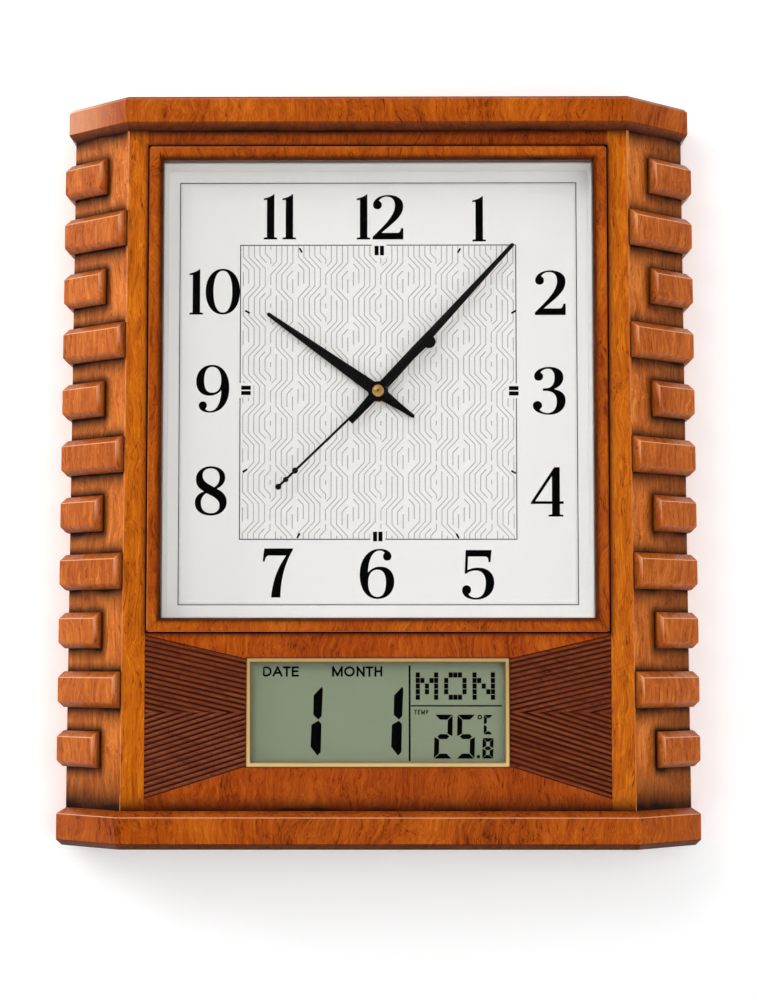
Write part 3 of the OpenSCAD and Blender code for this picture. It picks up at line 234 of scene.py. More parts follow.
def slice_up(piece, normal, start, stop, step):
    """Cuts a piece's faces by parallel planes, so that its shading has points to hold it."""
    normal = Vector(normal).normalized()
    with editing(piece):
        for i in range(int((stop - start) / step) + 1):
            bpy.ops.mesh.select_all(action="SELECT")
            bpy.ops.mesh.bisect(plane_co=normal * (start + i * step) * MM, plane_no=normal)


def stain_and_painted_light(piece, depth_at):
    """Stores dark stain and painted shade at each point, 0 to 1, or below 0 a painted highlight.
    """
    layer = piece.data.attributes.new("stain_and_painted_light", "FLOAT", "POINT")
    shade = [max(-1.0, min(1.0, depth_at(*(v.co / MM)))) for v in piece.data.vertices]
    layer.data.foreach_set("value", shade)


def near(distance, reach):
    """1 at a corner, and falling away over its reach."""
    return math.exp(-((max(distance, 0.0) / reach) ** 1.5))


def drawn(curve, path, shift=0.0):
    """Adds closed outlines to a flat curve. M starts one, L is a straight side, C a bent one."""
    for part in filter(str.strip, path.split("Z")):
        words, points, i = part.split(), [], 0
        while i < len(words):
            count = {"M": 1, "L": 1, "C": 3}[words[i]]
            numbers = [float(w) for w in words[i + 1:i + 1 + 2 * count]]
            spots = [Vector((numbers[2 * k] + shift, numbers[2 * k + 1], 0)) * MM
                     for k in range(count)]
            if points and count == 1:
                points[-1][2] = points[-1][0].lerp(spots[0], 1 / 3)
                points.append([spots[0], spots[0].lerp(points[-1][0], 1 / 3), None])
            elif points:
                points[-1][2] = spots[0]
                points.append([spots[2], spots[1], None])
            else:
                points.append([spots[0], None, None])
            i += 1 + 2 * count
        if (points[-1][0] - points[0][0]).length < MERGE:
            points[0][1] = points.pop()[1]
        else:
            points[-1][2] = points[-1][0].lerp(points[0][0], 1 / 3)
            points[0][1] = points[0][0].lerp(points[-1][0], 1 / 3)
        spline = curve.splines.new("BEZIER")
        spline.bezier_points.add(len(points) - 1)
        spline.use_cyclic_u = True
        for point, (at, before, after) in zip(spline.bezier_points, points):
            point.handle_left_type = point.handle_right_type = "FREE"
            point.co, point.handle_left, point.handle_right = at, before, after


def flat_curve(name, thickness):
    """An empty flat curve whose outlines will be filled to a thickness."""
    data = bpy.data.curves.new(name, "CURVE")
    data.dimensions = "2D"
    data.fill_mode = "BOTH"
    data.resolution_u = 8
    data.extrude = thickness / 2
    piece = bpy.data.objects.new(name, data)
    bpy.context.scene.collection.objects.link(piece)
    return piece


def as_mesh(piece):
    """Turns a curve into a closed mesh."""
    only(piece)
    bpy.ops.object.convert(target="MESH")
    with editing(piece):
        bpy.ops.mesh.remove_doubles(threshold=MERGE)
        bpy.ops.mesh.normals_make_consistent(inside=False)


def face_front(piece, x, y, z):
    """Stands a flat piece upright, facing the front, round a point in millimetres."""
    piece.rotation_euler = (math.radians(90), 0, 0)
    piece.location = (x * MM, y * MM, z * MM)


def lines(name, width, paths, closed=False):
    """Printed lines of one width along paths of flat points, in millimetres."""
    data = bpy.data.curves.new(name, "CURVE")
    data.dimensions = "3D"
    data.bevel_depth = width / 2
    data.bevel_resolution = 0
    data.use_fill_caps = True
    for path in paths:
        spline = data.splines.new("POLY")
        spline.points.add(len(path) - 1)
        spline.use_cyclic_u = closed
        for point, (x, y) in zip(spline.points, path):
            point.co = (x * MM, y * MM, 0, 1)
    piece = bpy.data.objects.new(name, data)
    bpy.context.scene.collection.objects.link(piece)
    as_mesh(piece)
    # Print is flat: a tenth as thick as it is wide
    with editing(piece):
        bpy.ops.transform.resize(value=(1, 1, 0.1), center_override=(0, 0, 0))
    return piece


def plate(x0, x1, y0, y1, z0, z1):
    """A block between six planes, in millimetres."""
    bpy.ops.object.select_all(action="DESELECT")
    bpy.ops.mesh.primitive_cube_add(
        size=1, location=[(a + b) / 2 * MM for a, b in ((x0, x1), (y0, y1), (z0, z1))])
    piece = bpy.context.object
    piece.scale = [(b - a) * MM for a, b in ((x0, x1), (y0, y1), (z0, z1))]
    only(piece)
    bpy.ops.object.transform_apply(location=True, rotation=True, scale=True)
    return piece


# Finishes

def add(tree, kind, settings=None, links=None, stops=None):
    """Adds a shader node, with its settings, its ramp's stops and what feeds it."""
    node = tree.nodes.new("ShaderNode" + kind)
    for key, value in (settings or {}).items():
        if isinstance(key, str) and hasattr(node, key):
            setattr(node, key, value)
        else:
            node.inputs[key].default_value = value
    if stops:
        ramp = node.color_ramp.elements
        while len(ramp) < len(stops):
            ramp.new(0.5)
        for element, (place, tone) in zip(ramp, stops):
            element.position = place
            element.color = (*tone, 1) if len(tone) == 3 else (tone[0],) * 3 + (1,)
    for key, socket in (links or {}).items():
        tree.links.new(socket, node.inputs[key])
    return node


def new_material(name):
    """An empty material with its output, and the place of a point on the object."""
    material = bpy.data.materials.new(name)
    material.use_nodes = True
    tree = material.node_tree
    tree.nodes.clear()
    output = add(tree, "OutputMaterial")
    place = add(tree, "TexCoord").outputs["Object"]
    return material, tree, output, place


def toned(tone, red, green=None, blue=None):
    """A colour with its red, green and blue made stronger or weaker."""
    green = red if green is None else green
    blue = green if blue is None else blue
    return [min(1.0, max(0.0, c * k)) for c, k in zip(tone, (red, green, blue))]


def lacquered_veneer(name, tone, tones, seed=0.0, figure=1.0, roughness=0.35, coat=0.28,
                     along=(0.0, 0.0, 0.0)):
    """Burr veneer, sliced, stained orange brown and sprayed with lacquer.

    It gives the eye upright fibres that lean and swirl, soft patches of darker and paler wood,
    hair-thin dark and pale strokes along the fibres, and a clear skin that lights up sharply
    along the rounded edges. The piece's attribute darkens it towards the dark stain, partly a
    real stain and partly painted shade, and thins the skin there so that no sheen covers it.
    Below 0 it paints a pale highlight.
    """
    material, tree, output, place = new_material(name)
    # Swirls: over 60 mm or so the fibres lean another way, by up to 20 degrees
    moved = add(tree, "Mapping", {"Location": (seed, seed * 0.7, seed * 0.3),
                                  "Rotation": along}, {"Vector": place}).outputs[0]
    swirl = add(tree, "TexNoise", {"Scale": 17, "Detail": 3, "Roughness": 0.55},
                {"Vector": moved}).outputs["Color"]
    swirl = add(tree, "VectorMath", {"operation": "SUBTRACT", 1: (0.5, 0.5, 0.5)}, {0: swirl})
    lean_by = (28 * figure + 6) * MM
    bent = add(tree, "VectorMath", {"operation": "MULTIPLY_ADD", 1: (lean_by, lean_by, 0)},
               {0: swirl.outputs[0], 2: moved}).outputs[0]
    # Patches 20 mm wide, streaks 2.4 mm, fibres 0.6 mm, hairs and glints 0.2 mm, flecks 1 mm,
    # all longer upwards
    patch, streak, fibre, hair, glint, fleck = (
        add(tree, "TexNoise", {"Scale": scale, "Detail": detail, "Roughness": 0.55},
            {"Vector": add(tree, "Mapping", {"Location": (shift, shift, 0),
                                             "Scale": (1, 1, stretch)},
                           {"Vector": bent}).outputs[0]}).outputs[0]
        for scale, detail, stretch, shift in (
            (46, 4, 0.5, 0.9), (420, 2, 0.07, 0.3), (1700, 2, 0.045, 0), (560, 1, 0.08, 0.6),
            (470, 1, 0.1, 0.2), (950, 1, 0.16, 0.4)))
    hairs, glints = (
        add(tree, "ValToRGB", links={0: noise},
            stops=[(0.484, (0.0,)), (0.5, (1.0,)), (0.516, (0.0,))]).outputs[0]
        for noise in (hair, glint))
    flecks = add(tree, "ValToRGB", links={0: fleck}, stops=[(0.29, (1.0,)), (0.34, (0.0,))])
    # How pale the wood is at a point, around 0.5
    weights = ((patch, 1.2 * figure), (streak, 0.95), (fibre, 0.9))
    level = add(tree, "Math", {"operation": "MULTIPLY_ADD", 1: weights[0][1],
                               2: 0.5 - sum(weight for noise, weight in weights) / 2},
                {0: patch}).outputs[0]
    for mark, weight in (*weights[1:], (hairs, -0.26), (flecks.outputs[0], -0.3),
                         (glints, 0.24)):
        level = add(tree, "Math", {"operation": "MULTIPLY_ADD", 1: weight},
                    {0: mark, 2: level}).outputs[0]
    wood = add(tree, "ValToRGB", links={0: level}, stops=[
        (0.0, toned(tone, 0.3, 0.22, 0.15)), (0.14, toned(tone, 0.52, 0.43, 0.35)),
        (0.28, toned(tone, 0.78, 0.7, 0.6)), (0.5, tone),
        (0.75, toned(tone, 1.26, 1.5, 1.9)), (1.0, toned(tone, 1.5, 2.1, 3.2))])
    # Above 0 the attribute gives dark stain and painted shade
    held = add(tree, "Attribute", {"attribute_name": "stain_and_painted_light"}).outputs["Fac"]
    uneven = add(tree, "Math", {"operation": "MULTIPLY_ADD", 1: 0.8, 2: 0.6},
                 {0: patch}).outputs[0]
    depth = add(tree, "Math", {"operation": "MULTIPLY", "use_clamp": True},
                {0: held, 1: uneven}).outputs[0]
    shaded = add(tree, "Mix", {"data_type": "RGBA", 7: (*tones.stain_and_painted_light, 1)},
                 {0: depth, 6: wood.outputs[0]})
    # Below 0 it paints a pale highlight
    highlit = add(tree, "Math", {"operation": "MULTIPLY", 1: -1.0, "use_clamp": True}, {0: held})
    painted_highlight = add(tree, "Mix", {"data_type": "RGBA", 7: (*tones.painted_highlight, 1)},
               {0: highlit.outputs[0], 6: shaded.outputs[2]})
    rough = add(tree, "MapRange", {"To Min": roughness - 0.05, "To Max": roughness + 0.07},
                {"Value": fibre}).outputs[0]
    # The coat thins where shade is painted, so that no sheen lies over it
    skin = add(tree, "MapRange", {"To Min": coat, "To Max": 0.0}, {"Value": depth}).outputs[0]
    bump = add(tree, "Bump", {"Strength": 0.2, "Distance": 0.05 * MM}, {"Height": fibre})
    surface = add(tree, "BsdfPrincipled",
                  {"IOR": 1.5, "Specular IOR Level": 0.06, "Coat Roughness": 0.12},
                  {"Base Color": painted_highlight.outputs[2], "Roughness": rough, "Coat Weight": skin,
                   "Normal": bump.outputs[0]})
    tree.links.new(surface.outputs[0], output.inputs["Surface"])
    return material


def even_finish(name, tone, roughness=0.4, mottle=0.06, size=2.0, bump=0.02, stretch=(1, 1, 1),
                metallic=0.0, specular=0.5, dark=None):
    """A plain finish with the faint unevenness of how it was made.

    The mottle is how much its colour wanders, and size is how far apart, in millimetres, the
    changes lie. The bump is their height in millimetres. If there is a darker tone, a piece's
    attribute paints shade with it.
    """
    material, tree, output, place = new_material(name)
    at = add(tree, "Mapping", {"Scale": stretch}, {"Vector": place}).outputs[0]
    noise = add(tree, "TexNoise", {"Scale": 1000 / size, "Detail": 3, "Roughness": 0.6},
                {"Vector": at}).outputs[0]
    body = add(tree, "ValToRGB", links={0: noise},
               stops=[(0.3, toned(tone, 1 - mottle)), (0.7, toned(tone, 1 + mottle))]).outputs[0]
    # Painted shade: the attribute takes the colour towards the darker tone
    if dark:
        held = add(tree, "Attribute", {"attribute_name": "stain_and_painted_light"}).outputs["Fac"]
        body = add(tree, "Mix", {"data_type": "RGBA", 7: (*dark, 1)},
                   {0: held, 6: body}).outputs[2]
    spread = 0.06
    rough = add(tree, "MapRange", {"To Min": max(0.02, roughness - spread),
                                   "To Max": roughness + spread},
                {"Value": noise}).outputs[0]
    height = add(tree, "Bump", {"Strength": 0.5, "Distance": bump * MM}, {"Height": noise})
    surface = add(tree, "BsdfPrincipled",
                  {"IOR": 1.5, "Metallic": metallic, "Specular IOR Level": specular},
                  {"Base Color": body, "Roughness": rough, "Normal": height.outputs[0]})
    tree.links.new(surface.outputs[0], output.inputs["Surface"])
    return material


def clear_pane(name):
    """Float glass or clear acrylic, polished.

    It gives the eye only a faint sheen over what lies behind, and lets the lamps by.
    """
    material, tree, output, place = new_material(name)
    clear = (1, 1, 1, 1)
    noise = add(tree, "TexNoise", {"Scale": 20, "Detail": 1}, {"Vector": place}).outputs[0]
    rough = add(tree, "MapRange", {"To Min": 0.0, "To Max": 0.03}, {"Value": noise})
    pane = add(tree, "BsdfPrincipled",
               {"Base Color": clear, "Transmission Weight": 1.0, "IOR": 1.45,
                "Specular IOR Level": 0.05},
               {"Roughness": rough.outputs[0]})
    through = add(tree, "BsdfTransparent", {"Color": clear})
    path = add(tree, "LightPath")
    mixed = add(tree, "MixShader", links={0: path.outputs["Is Shadow Ray"],
                                          1: pane.outputs[0], 2: through.outputs[0]})
    tree.links.new(mixed.outputs[0], output.inputs["Surface"])
    return material


# Stage

# The lamps, in metres and watts: name, place, the point they face, size, power
LAMPS = (
    ("key", (-0.75, -1.5, 0.75), (0, 0, -0.12), 0.7, 6.0),
    ("left_softbox", (-1.3, -0.4, 0.45), (0, 0, -0.15), 0.7, 8.5),
    ("overhead", (0.0, -0.3, 1.0), (0, 0, -0.15), 0.6, 2.0),
    ("front", (0.3, -1.7, -0.2), (0, 0, -0.15), 1.0, 7.0),
    ("fill", (1.3, -1.5, -0.35), (0, 0, -0.15), 1.2, 4.5),
    ("rear_left", (0.9, 1.3, 0.6), (0, 0, -0.15), 1.0, 14.0),
    ("rear_right", (-0.9, 1.3, 0.3), (0, 0, -0.15), 1.0, 14.0),
)
# The cheeks would mirror the side lamp, and the glass the front one, as a grey veil
NOT_MIRRORED = ("left_softbox", "front")

# The camera stands where the photograph's perspective puts it: 1.13 m in front of the wall and a
# little below the middle, tilted up by 4 degrees. Its turns are in radians, its place in metres,
# and its focal length is a share of the picture's height.
CAMERA_PLACE = (0.007456, -1.127439, -0.240394)
CAMERA_TURNS = (("Z", -0.006623), ("Y", -0.000624), ("X", -0.070996))
CAMERA_FOCUS = 2168.93 / 1000
SENSOR = 36

# How strongly the room lights the clock, and how much of its own white the wall adds where it is
# seen. A strength of 1 is white.
AMBIENT = 0.46
WALL_GLOW = 0.2


def matt_white_paint():
    """Matt white paint, rolled on wall and floor.

    It gives the eye a plain pale ground that holds the clock's shadow. From behind, and to lamps
    behind it, the wall is open, so that the back of the clock can be seen.
    """
    paint, tree, output, place = new_material("matt_white_paint")
    grit = add(tree, "TexNoise", {"Scale": 300, "Detail": 2}, {"Vector": place}).outputs[0]
    tint = add(tree, "ValToRGB", links={0: grit},
               stops=[(0.3, linear("#f3f3f3")), (0.7, linear("#f7f7f7"))])
    skin = add(tree, "BsdfDiffuse", links={"Color": tint.outputs[0]})
    path = add(tree, "LightPath")
    glow = add(tree, "Emission", {"Color": (1, 1, 1, 1)})
    seen = add(tree, "Math", {"operation": "ADD"},
               {0: path.outputs["Is Camera Ray"], 1: path.outputs["Is Glossy Ray"]})
    seen = add(tree, "Math", {"operation": "ADD", "use_clamp": True},
               {0: seen.outputs[0], 1: path.outputs["Is Transmission Ray"]})
    lift = add(tree, "Math", {"operation": "MULTIPLY", 1: WALL_GLOW}, {0: seen.outputs[0]})
    tree.links.new(lift.outputs[0], glow.inputs["Strength"])
    lit = add(tree, "AddShader", links={0: skin.outputs[0], 1: glow.outputs[0]})
    behind = add(tree, "NewGeometry").outputs["Backfacing"]
    either = add(tree, "Math", {"operation": "MAXIMUM"},
                 {0: path.outputs["Is Shadow Ray"], 1: behind})
    clear = add(tree, "BsdfTransparent")
    mixed = add(tree, "MixShader",
                links={0: either.outputs[0], 1: lit.outputs[0], 2: clear.outputs[0]})
    tree.links.new(mixed.outputs[0], output.inputs["Surface"])
    return paint


def ground(name, place, turn, paint):
    """A large painted plane of the stage, in metres."""
    bpy.ops.object.select_all(action="DESELECT")
    bpy.ops.mesh.primitive_plane_add(size=8, location=place, rotation=turn)
    plane = bpy.context.object
    plane.name = name
    only(plane)
    bpy.ops.object.transform_apply(location=True, rotation=True, scale=True)
    plane.data.materials.append(paint)
    return plane


def hang_lamp(scene, name, place, aim, size, power):
    """A square soft lamp that faces a point."""
    lamp = bpy.data.lights.new(name, "AREA")
    lamp.shape = "SQUARE"
    lamp.size = size
    lamp.energy = power
    holder = bpy.data.objects.new(name, lamp)
    scene.collection.objects.link(holder)
    holder.visible_glossy = holder.visible_transmission = name not in NOT_MIRRORED
    holder.location = place
    holder.rotation_mode = "QUATERNION"
    holder.rotation_quaternion = (Vector(aim) - Vector(place)).to_track_quat("-Z", "Y")


def white_room():
    """The world: a white room that lights the clock evenly from all round.

    Mirrored in the clock, it is bright on the left and overhead, and dim behind the camera, on
    the right and below. The background is plain white.
    """
    world = bpy.data.worlds.new("studio")
    world.use_nodes = True
    tree = world.node_tree
    tree.nodes.clear()
    way = add(tree, "TexCoord").outputs["Generated"]
    forward = add(tree, "SeparateXYZ", links={0: way}).outputs["Y"]
    room = add(tree, "MapRange", {"From Min": -0.85, "From Max": -0.3, "To Min": 0.04,
                                  "To Max": 1.0}, {"Value": forward}).outputs[0]
    slope = add(tree, "VectorMath", {"operation": "DOT_PRODUCT", 1: (-0.1, 0, 0.25)},
                {0: way}).outputs["Value"]
    slope = add(tree, "Math", {"operation": "ADD", 1: 0.2}, {0: slope}).outputs[0]
    room = add(tree, "Math", {"operation": "MULTIPLY"}, {0: room, 1: slope}).outputs[0]
    path = add(tree, "LightPath")
    mirrored = add(tree, "Math", {"operation": "MAXIMUM"},
                   {0: path.outputs["Is Glossy Ray"], 1: path.outputs["Is Transmission Ray"]})
    direct = add(tree, "Math", {"operation": "SUBTRACT", "use_clamp": True, 0: 1.0},
                 {1: path.outputs["Diffuse Depth"]})
    mirrored = add(tree, "Math", {"operation": "MULTIPLY"},
                   {0: mirrored.outputs[0], 1: direct.outputs[0]}).outputs[0]
    ambient = add(tree, "Mix", {"data_type": "FLOAT", 2: AMBIENT},
                  {0: mirrored, 3: room}).outputs[0]
    strength = add(tree, "Math", {"operation": "MAXIMUM"},
                   {0: path.outputs["Is Camera Ray"], 1: ambient})
    light = add(tree, "Background", {"Color": (1, 1, 1, 1)}, {"Strength": strength.outputs[0]})
    tree.links.new(light.outputs[0], add(tree, "OutputWorld").inputs["Surface"])
    return world


def photo_camera(scene):
    """The camera that sees the clock as the photograph does."""
    lens = bpy.data.cameras.new("camera")
    camera = bpy.data.objects.new("camera", lens)
    scene.collection.objects.link(camera)
    turn = Matrix.Identity(3)
    for axis, angle in CAMERA_TURNS:
        turn = turn @ Matrix.Rotation(angle, 3, axis)
    upright = Matrix.Rotation(math.radians(90), 3, "X")
    camera.matrix_world = (Matrix.Translation(CAMERA_PLACE)
                           @ (turn.transposed() @ upright).to_4x4())
    lens.lens = CAMERA_FOCUS * SENSOR
    lens.sensor_width = SENSOR
    lens.clip_start = 0.01
    return camera


class MakeStage(Operator):
    """Pale wall and floor, soft studio lamps, and the camera"""
    bl_idname = "clock.stage"
    bl_label = "Stage"

    def execute(self, context):
        scene = context.scene
        scene.view_settings.view_transform = "Standard"
        paint = matt_white_paint()
        wall = ground("wall", (0, 0.6 * MM, 2.2), (math.radians(90), 0, 0), paint)
        floor = ground("floor", (0, -4, -1.8), (0, 0, 0), paint)
        for lamp in LAMPS:
            hang_lamp(scene, *lamp)
        scene.world = white_room()
        scene.camera = photo_camera(scene)
        return {"FINISHED"}


# Woodwork

def block_z(k):
    """Height of the centre of side block k, counted down from the cornice."""
    return HEAD_Z - BLOCK_DROP - BLOCK_PITCH * k - BLOCK_PITCH_GROWTH * k * (k - 1) / 2


def lean(z):
    """How far the body's sides lean out at a height."""
    return 1 - 2 * (z - FOOT_Z) / (HEAD_Z - FOOT_Z)


def proud(x, y, z):
    """How far a point stands out from the cheek or the side board."""
    off = abs(x) - lean(z)
    return max((off - CORNER_X) * CHEEK_RUN[1] - (y - PANEL_Y) * CHEEK_RUN[0], off - SIDE_X)


# The shading rules below say how deep the dark stain and painted shade are at a point, from 0
# for clean wood to 1 for the darkest. Below 0 a pale highlight is painted. A crest is the middle
# row of points of a rounded edge, and a point lies on it within LINE.
LINE = 0.2
FINE_LINE = 0.15
BLOCK_CREST = 5.97
BLOCK_UNDERSIDE = -6.6
PLINTH_CREST = -320.23
RAIL_CREST = 0.4
RAIL_FLAT = 5.9


def cheek_shade(x, y, z):
    """Stain and painted shade on a cheek: round the blocks, under the cornice, over the plinth."""
    along = (y - PANEL_Y) / (CORNER_Y - PANEL_Y) * CHEEK_L
    # A painted highlight down the corner where the cheek meets the stile
    if along < 0.5:
        return -0.25
    # Painted shade on the outer half of the right cheek, which faces away from the light
    outer = min(1.0, max(0.0, (along - 12) / 14))
    shade = [near(HEAD_Z - z, reach=6.0), near(z - FOOT_Z, reach=14.0),
             0.0 if x < 0 else 0.6 * outer]
    for k in range(BLOCK_COUNT):
        beside = max(BLOCK_START[k % 2] - along, 0.0)
        above = z - block_z(k) - BLOCK_HALF
        below = block_z(k) - BLOCK_HALF - z
        if beside:
            away = math.hypot(beside, max(above, 0), 0.7 * max(below, 0))
            shade.append(near(away, reach=2.8))
        else:
            shade.append(near(above, reach=3.9) if above > 0 else near(below, reach=5.6))
    return max(shade)


def block_shade(x, y, z):
    """Painted shade on a block at its foot, underside and inner end; a painted highlight on its
    top.
    """
    k = min(range(BLOCK_COUNT), key=lambda k: abs(z - block_z(k)))
    rise = z - block_z(k)
    along = (abs(x) - lean(z) - CORNER_X) * CHEEK_RUN[0] + (y - PANEL_Y) * CHEEK_RUN[1]
    inner_end = along - BLOCK_START[k % 2] < 1.2
    # A painted highlight along the top edge
    if abs(rise - BLOCK_CREST) < LINE and not inner_end:
        return -0.8
    # Painted shade where the block meets the cheek, and on its underside, which faces down
    foot = 0.9 * near(proud(x, y, z) - 0.6, reach=1.3)
    under = 0.55 if rise < BLOCK_UNDERSIDE else 0.0
    # Painted shade on the inner ends, more on the left blocks, whose ends face away from the light
    end = (0.5 if x < 0 else 0.2) if inner_end else 0.0
    return max(foot, under, end)


def front_shade(x, y, z):
    """Painted shade on the front under the cornice, round the frame and at the foot; darker over
    the frame.
    """
    out = max(abs(x) - FRAME_HALF[0], abs(z - DIAL_Z) - FRAME_HALF[1])
    over = z - DIAL_Z > FRAME_HALF[1] and abs(x) < FRAME_HALF[0] + 4
    return max(near(HEAD_Z - z, reach=3.0), 0.95 * near(z - FOOT_Z, reach=5.0),
               0.9 * near(out - 0.5, reach=1.4), 0.3 if over else 0.0)


def cornice_shade(x, y, z):
    """Painted shade on the cornice's lower bevel, a painted highlight on its left end; a darker
    crown.
    """
    bevel_foot, bevel_top, left_end, top_edge, crown = 25.2, 26, -127, 37.1, 38.3
    if z < bevel_top:
        # Painted shade on the lower bevel, which faces down
        return 0.9 if z < bevel_foot else 0.55
    if x < left_end:
        # A painted highlight on the left end, which faces the light
        return -1.0 if z > top_edge else -0.6
    return 0.7 if z > crown else 0.0


def plinth_shade(x, y, z):
    """Painted shade on the plinth's foot and where the body stands on it; a painted highlight on
    it.
    """
    foot_top = -333
    if z < foot_top:
        return 0.78
    return -0.8 if abs(z - PLINTH_CREST) < LINE else 0.4 * near(FOOT_Z - z, reach=1.0)


class MakeWoodwork(Operator):
    """Cornice, plinth, stiles, top rail, lower panel, cheeks and sides"""
    bl_idname = "clock.woodwork"
    bl_label = "Case woodwork"

    def execute(self, context):
        sizes, tones = context.scene.clock_sizes, context.scene.clock_colours
        # Burr veneer with its full figure: cloudy and swirled, red brown
        moulding = lacquered_veneer("moulding_veneer_lacquered", tones.moulding, tones, 0.31)
        panel = lacquered_veneer("panel_veneer_lacquered", tones.panel, tones, 0.12, 0.9)
        # Straighter veneer: long upright fibres, a clear orange on the stiles
        stile = lacquered_veneer("stile_veneer_lacquered", tones.veneer, tones, 0.77, 0.35)
        cheek = lacquered_veneer("cheek_veneer_lacquered", tones.cheek, tones, 0.53, 0.6)
        side = lacquered_veneer("side_veneer_lacquered", tones.cheek, tones, 0.93, 0.6)

        for node, name, rule in (("top_cornice", "cornice", cornice_shade),
                                 ("base_plinth", "plinth", plinth_shade)):
            reworked(node, name, "case", moulding, sizes.wood_edge, 3, 15, rule)

        for end, turn in (("left", -1), ("right", 1)):
            piece = copy_of(f"{end}_cheek")
            slice_up(piece, (0, 0, 1), start=FOOT_Z + 1, stop=HEAD_Z - 0.5, step=2.0)
            run = Vector((turn * CHEEK_RUN[0], CHEEK_RUN[1], 0))
            edge = Vector((turn * CORNER_X, PANEL_Y, 0)).dot(run)
            slice_up(piece, run, start=edge + 1.5, stop=edge + CHEEK_L - 1, step=2.4)
            soften(piece, 1.5 * sizes.small_edge, 2)
            stain_and_painted_light(piece, cheek_shade)
            finished(piece, f"cheek_{end}", "case", cheek)

        for end in ("left", "right"):
            reworked(f"{end}_side", f"side_{end}", "case", side, sizes.small_edge, 2)

        # The flats of the front get rows of points where painted shade darkens them. Each set of
        # cuts: the way that they follow each other, the first, the last and their pitch.
        up = (0, 0, 1)
        beside_frame = (115.6, 125.2, 0.9)
        all_height = (up, FOOT_Z + 1, HEAD_Z - 0.5, 1.9)
        for node, name, material, cuts in (
                ("left_stile", "stile_left", stile, (((-1, 0, 0), *beside_frame), all_height)),
                ("right_stile", "stile_right", stile, (((1, 0, 0), *beside_frame), all_height)),
                ("front_top_rail", "rail_over_frame", panel, ((up, 14.4, HEAD_Z - 0.4, 0.8),)),
                ("lower_panel", "lower_panel_veneered", panel,
                 ((up, FOOT_Z + 0.8, FOOT_Z + 15, 1.4), (up, -236, -230.4, 0.8)))):
            piece = copy_of(node)
            for cut in cuts:
                slice_up(piece, *cut)
            stain_and_painted_light(piece, front_shade)
            only(piece)
            bpy.ops.object.shade_smooth_by_angle(angle=math.radians(30))
            finished(piece, name, "case", material)
        return {"FINISHED"}


class MakeBlocks(Operator):
    """The two columns of bevelled side blocks"""
    bl_idname = "clock.side_blocks"
    bl_label = "Side blocks"

    def execute(self, context):
        sizes, tones = context.scene.clock_sizes, context.scene.clock_colours
        # Veneer laid over the blocks, a little paler than the stain and painted shade of the
        # cheeks behind them
        wood = lacquered_veneer("block_veneer_lacquered", tones.block, tones, 0.41, 0.6)
        for end in ("left", "right"):
            reworked(f"{end}_blocks", f"side_blocks_{end}", "case", wood,
                     sizes.wood_edge, 3, 15, block_shade)
        return {"FINISHED"}


def rail_shade(x, y, z):
    """Painted shade on the frame towards the glass, dark mitres, and a painted highlight outside.
    """
    inward = FRAME_HALF[0] - abs(x), FRAME_HALF[1] - abs(z - DIAL_Z)
    # Painted shade on the inner bevel and wall, towards the glass
    if min(inward) > RAIL_FLAT + 0.05:
        return 0.82
    if abs(inward[0] - inward[1]) < FINE_LINE:
        return 0.6
    # A painted highlight along the outer edge
    if abs(min(inward) - RAIL_CREST) < FINE_LINE:
        return -0.6
    return 0.85 * near(RAIL_FLAT - min(inward), reach=1.3)


class MakeDialFrame(Operator):
    """The four mitred rails round the dial glass"""
    bl_idname = "clock.dial_frame"
    bl_label = "Dial frame"

    def execute(self, context):
        sizes, tones = context.scene.clock_sizes, context.scene.clock_colours
        # The mouldings' veneer from another leaf, so that its clouds fall elsewhere
        wood = lacquered_veneer("frame_veneer_lacquered", tones.moulding, tones, 0.18)
        for side, away, edge in (("top", (0, 0, 1), DIAL_Z + FRAME_HALF[1]),
                                 ("bottom", (0, 0, -1), FRAME_HALF[1] - DIAL_Z),
                                 ("left", (-1, 0, 0), FRAME_HALF[0]),
                                 ("right", (1, 0, 0), FRAME_HALF[0])):
            piece = copy_of(f"frame_{side}_rail")
            slice_up(piece, away, start=edge - 5.4, stop=edge - 1.2, step=0.7)
            soften(piece, sizes.rail_edge, 3)
            stain_and_painted_light(piece, rail_shade)
            finished(piece, f"dial_rail_{side}", "case", wood)
        return {"FINISHED"}


def reed_shade(x, y, z):
    """Painted shade on the reeds: nearly black in the hollows between them."""
    crest, valley = -54.14, -53.37
    return ((y - crest) / (valley - crest)) ** 0.5 if y > crest + 0.04 else 0.0


class MakeWings(Operator):
    """The two reeded wings beside the display"""
    bl_idname = "clock.reeded_wings"
    bl_label = "Reeded wings"

    def execute(self, context):
        tones = context.scene.clock_colours
        # Solid wood, reeded by a cutter and stained dark: fibres along the reeds, painted shade
        # nearly black between them, and a narrow gleam down each
        wood = lacquered_veneer("reeds_dark_stained", tones.reed, tones, 0.66, 0.4,
                                roughness=0.3, coat=0.35, along=(0, math.radians(75), 0))
        for side in ("left", "right"):
            piece = copy_of(f"{side}_reeded_wing")
            stain_and_painted_light(piece, reed_shade)
            only(piece)
            bpy.ops.object.shade_smooth_by_angle(angle=math.radians(40))
            finished(piece, f"reeds_{side}", "case", wood)
        return {"FINISHED"}


# Dial

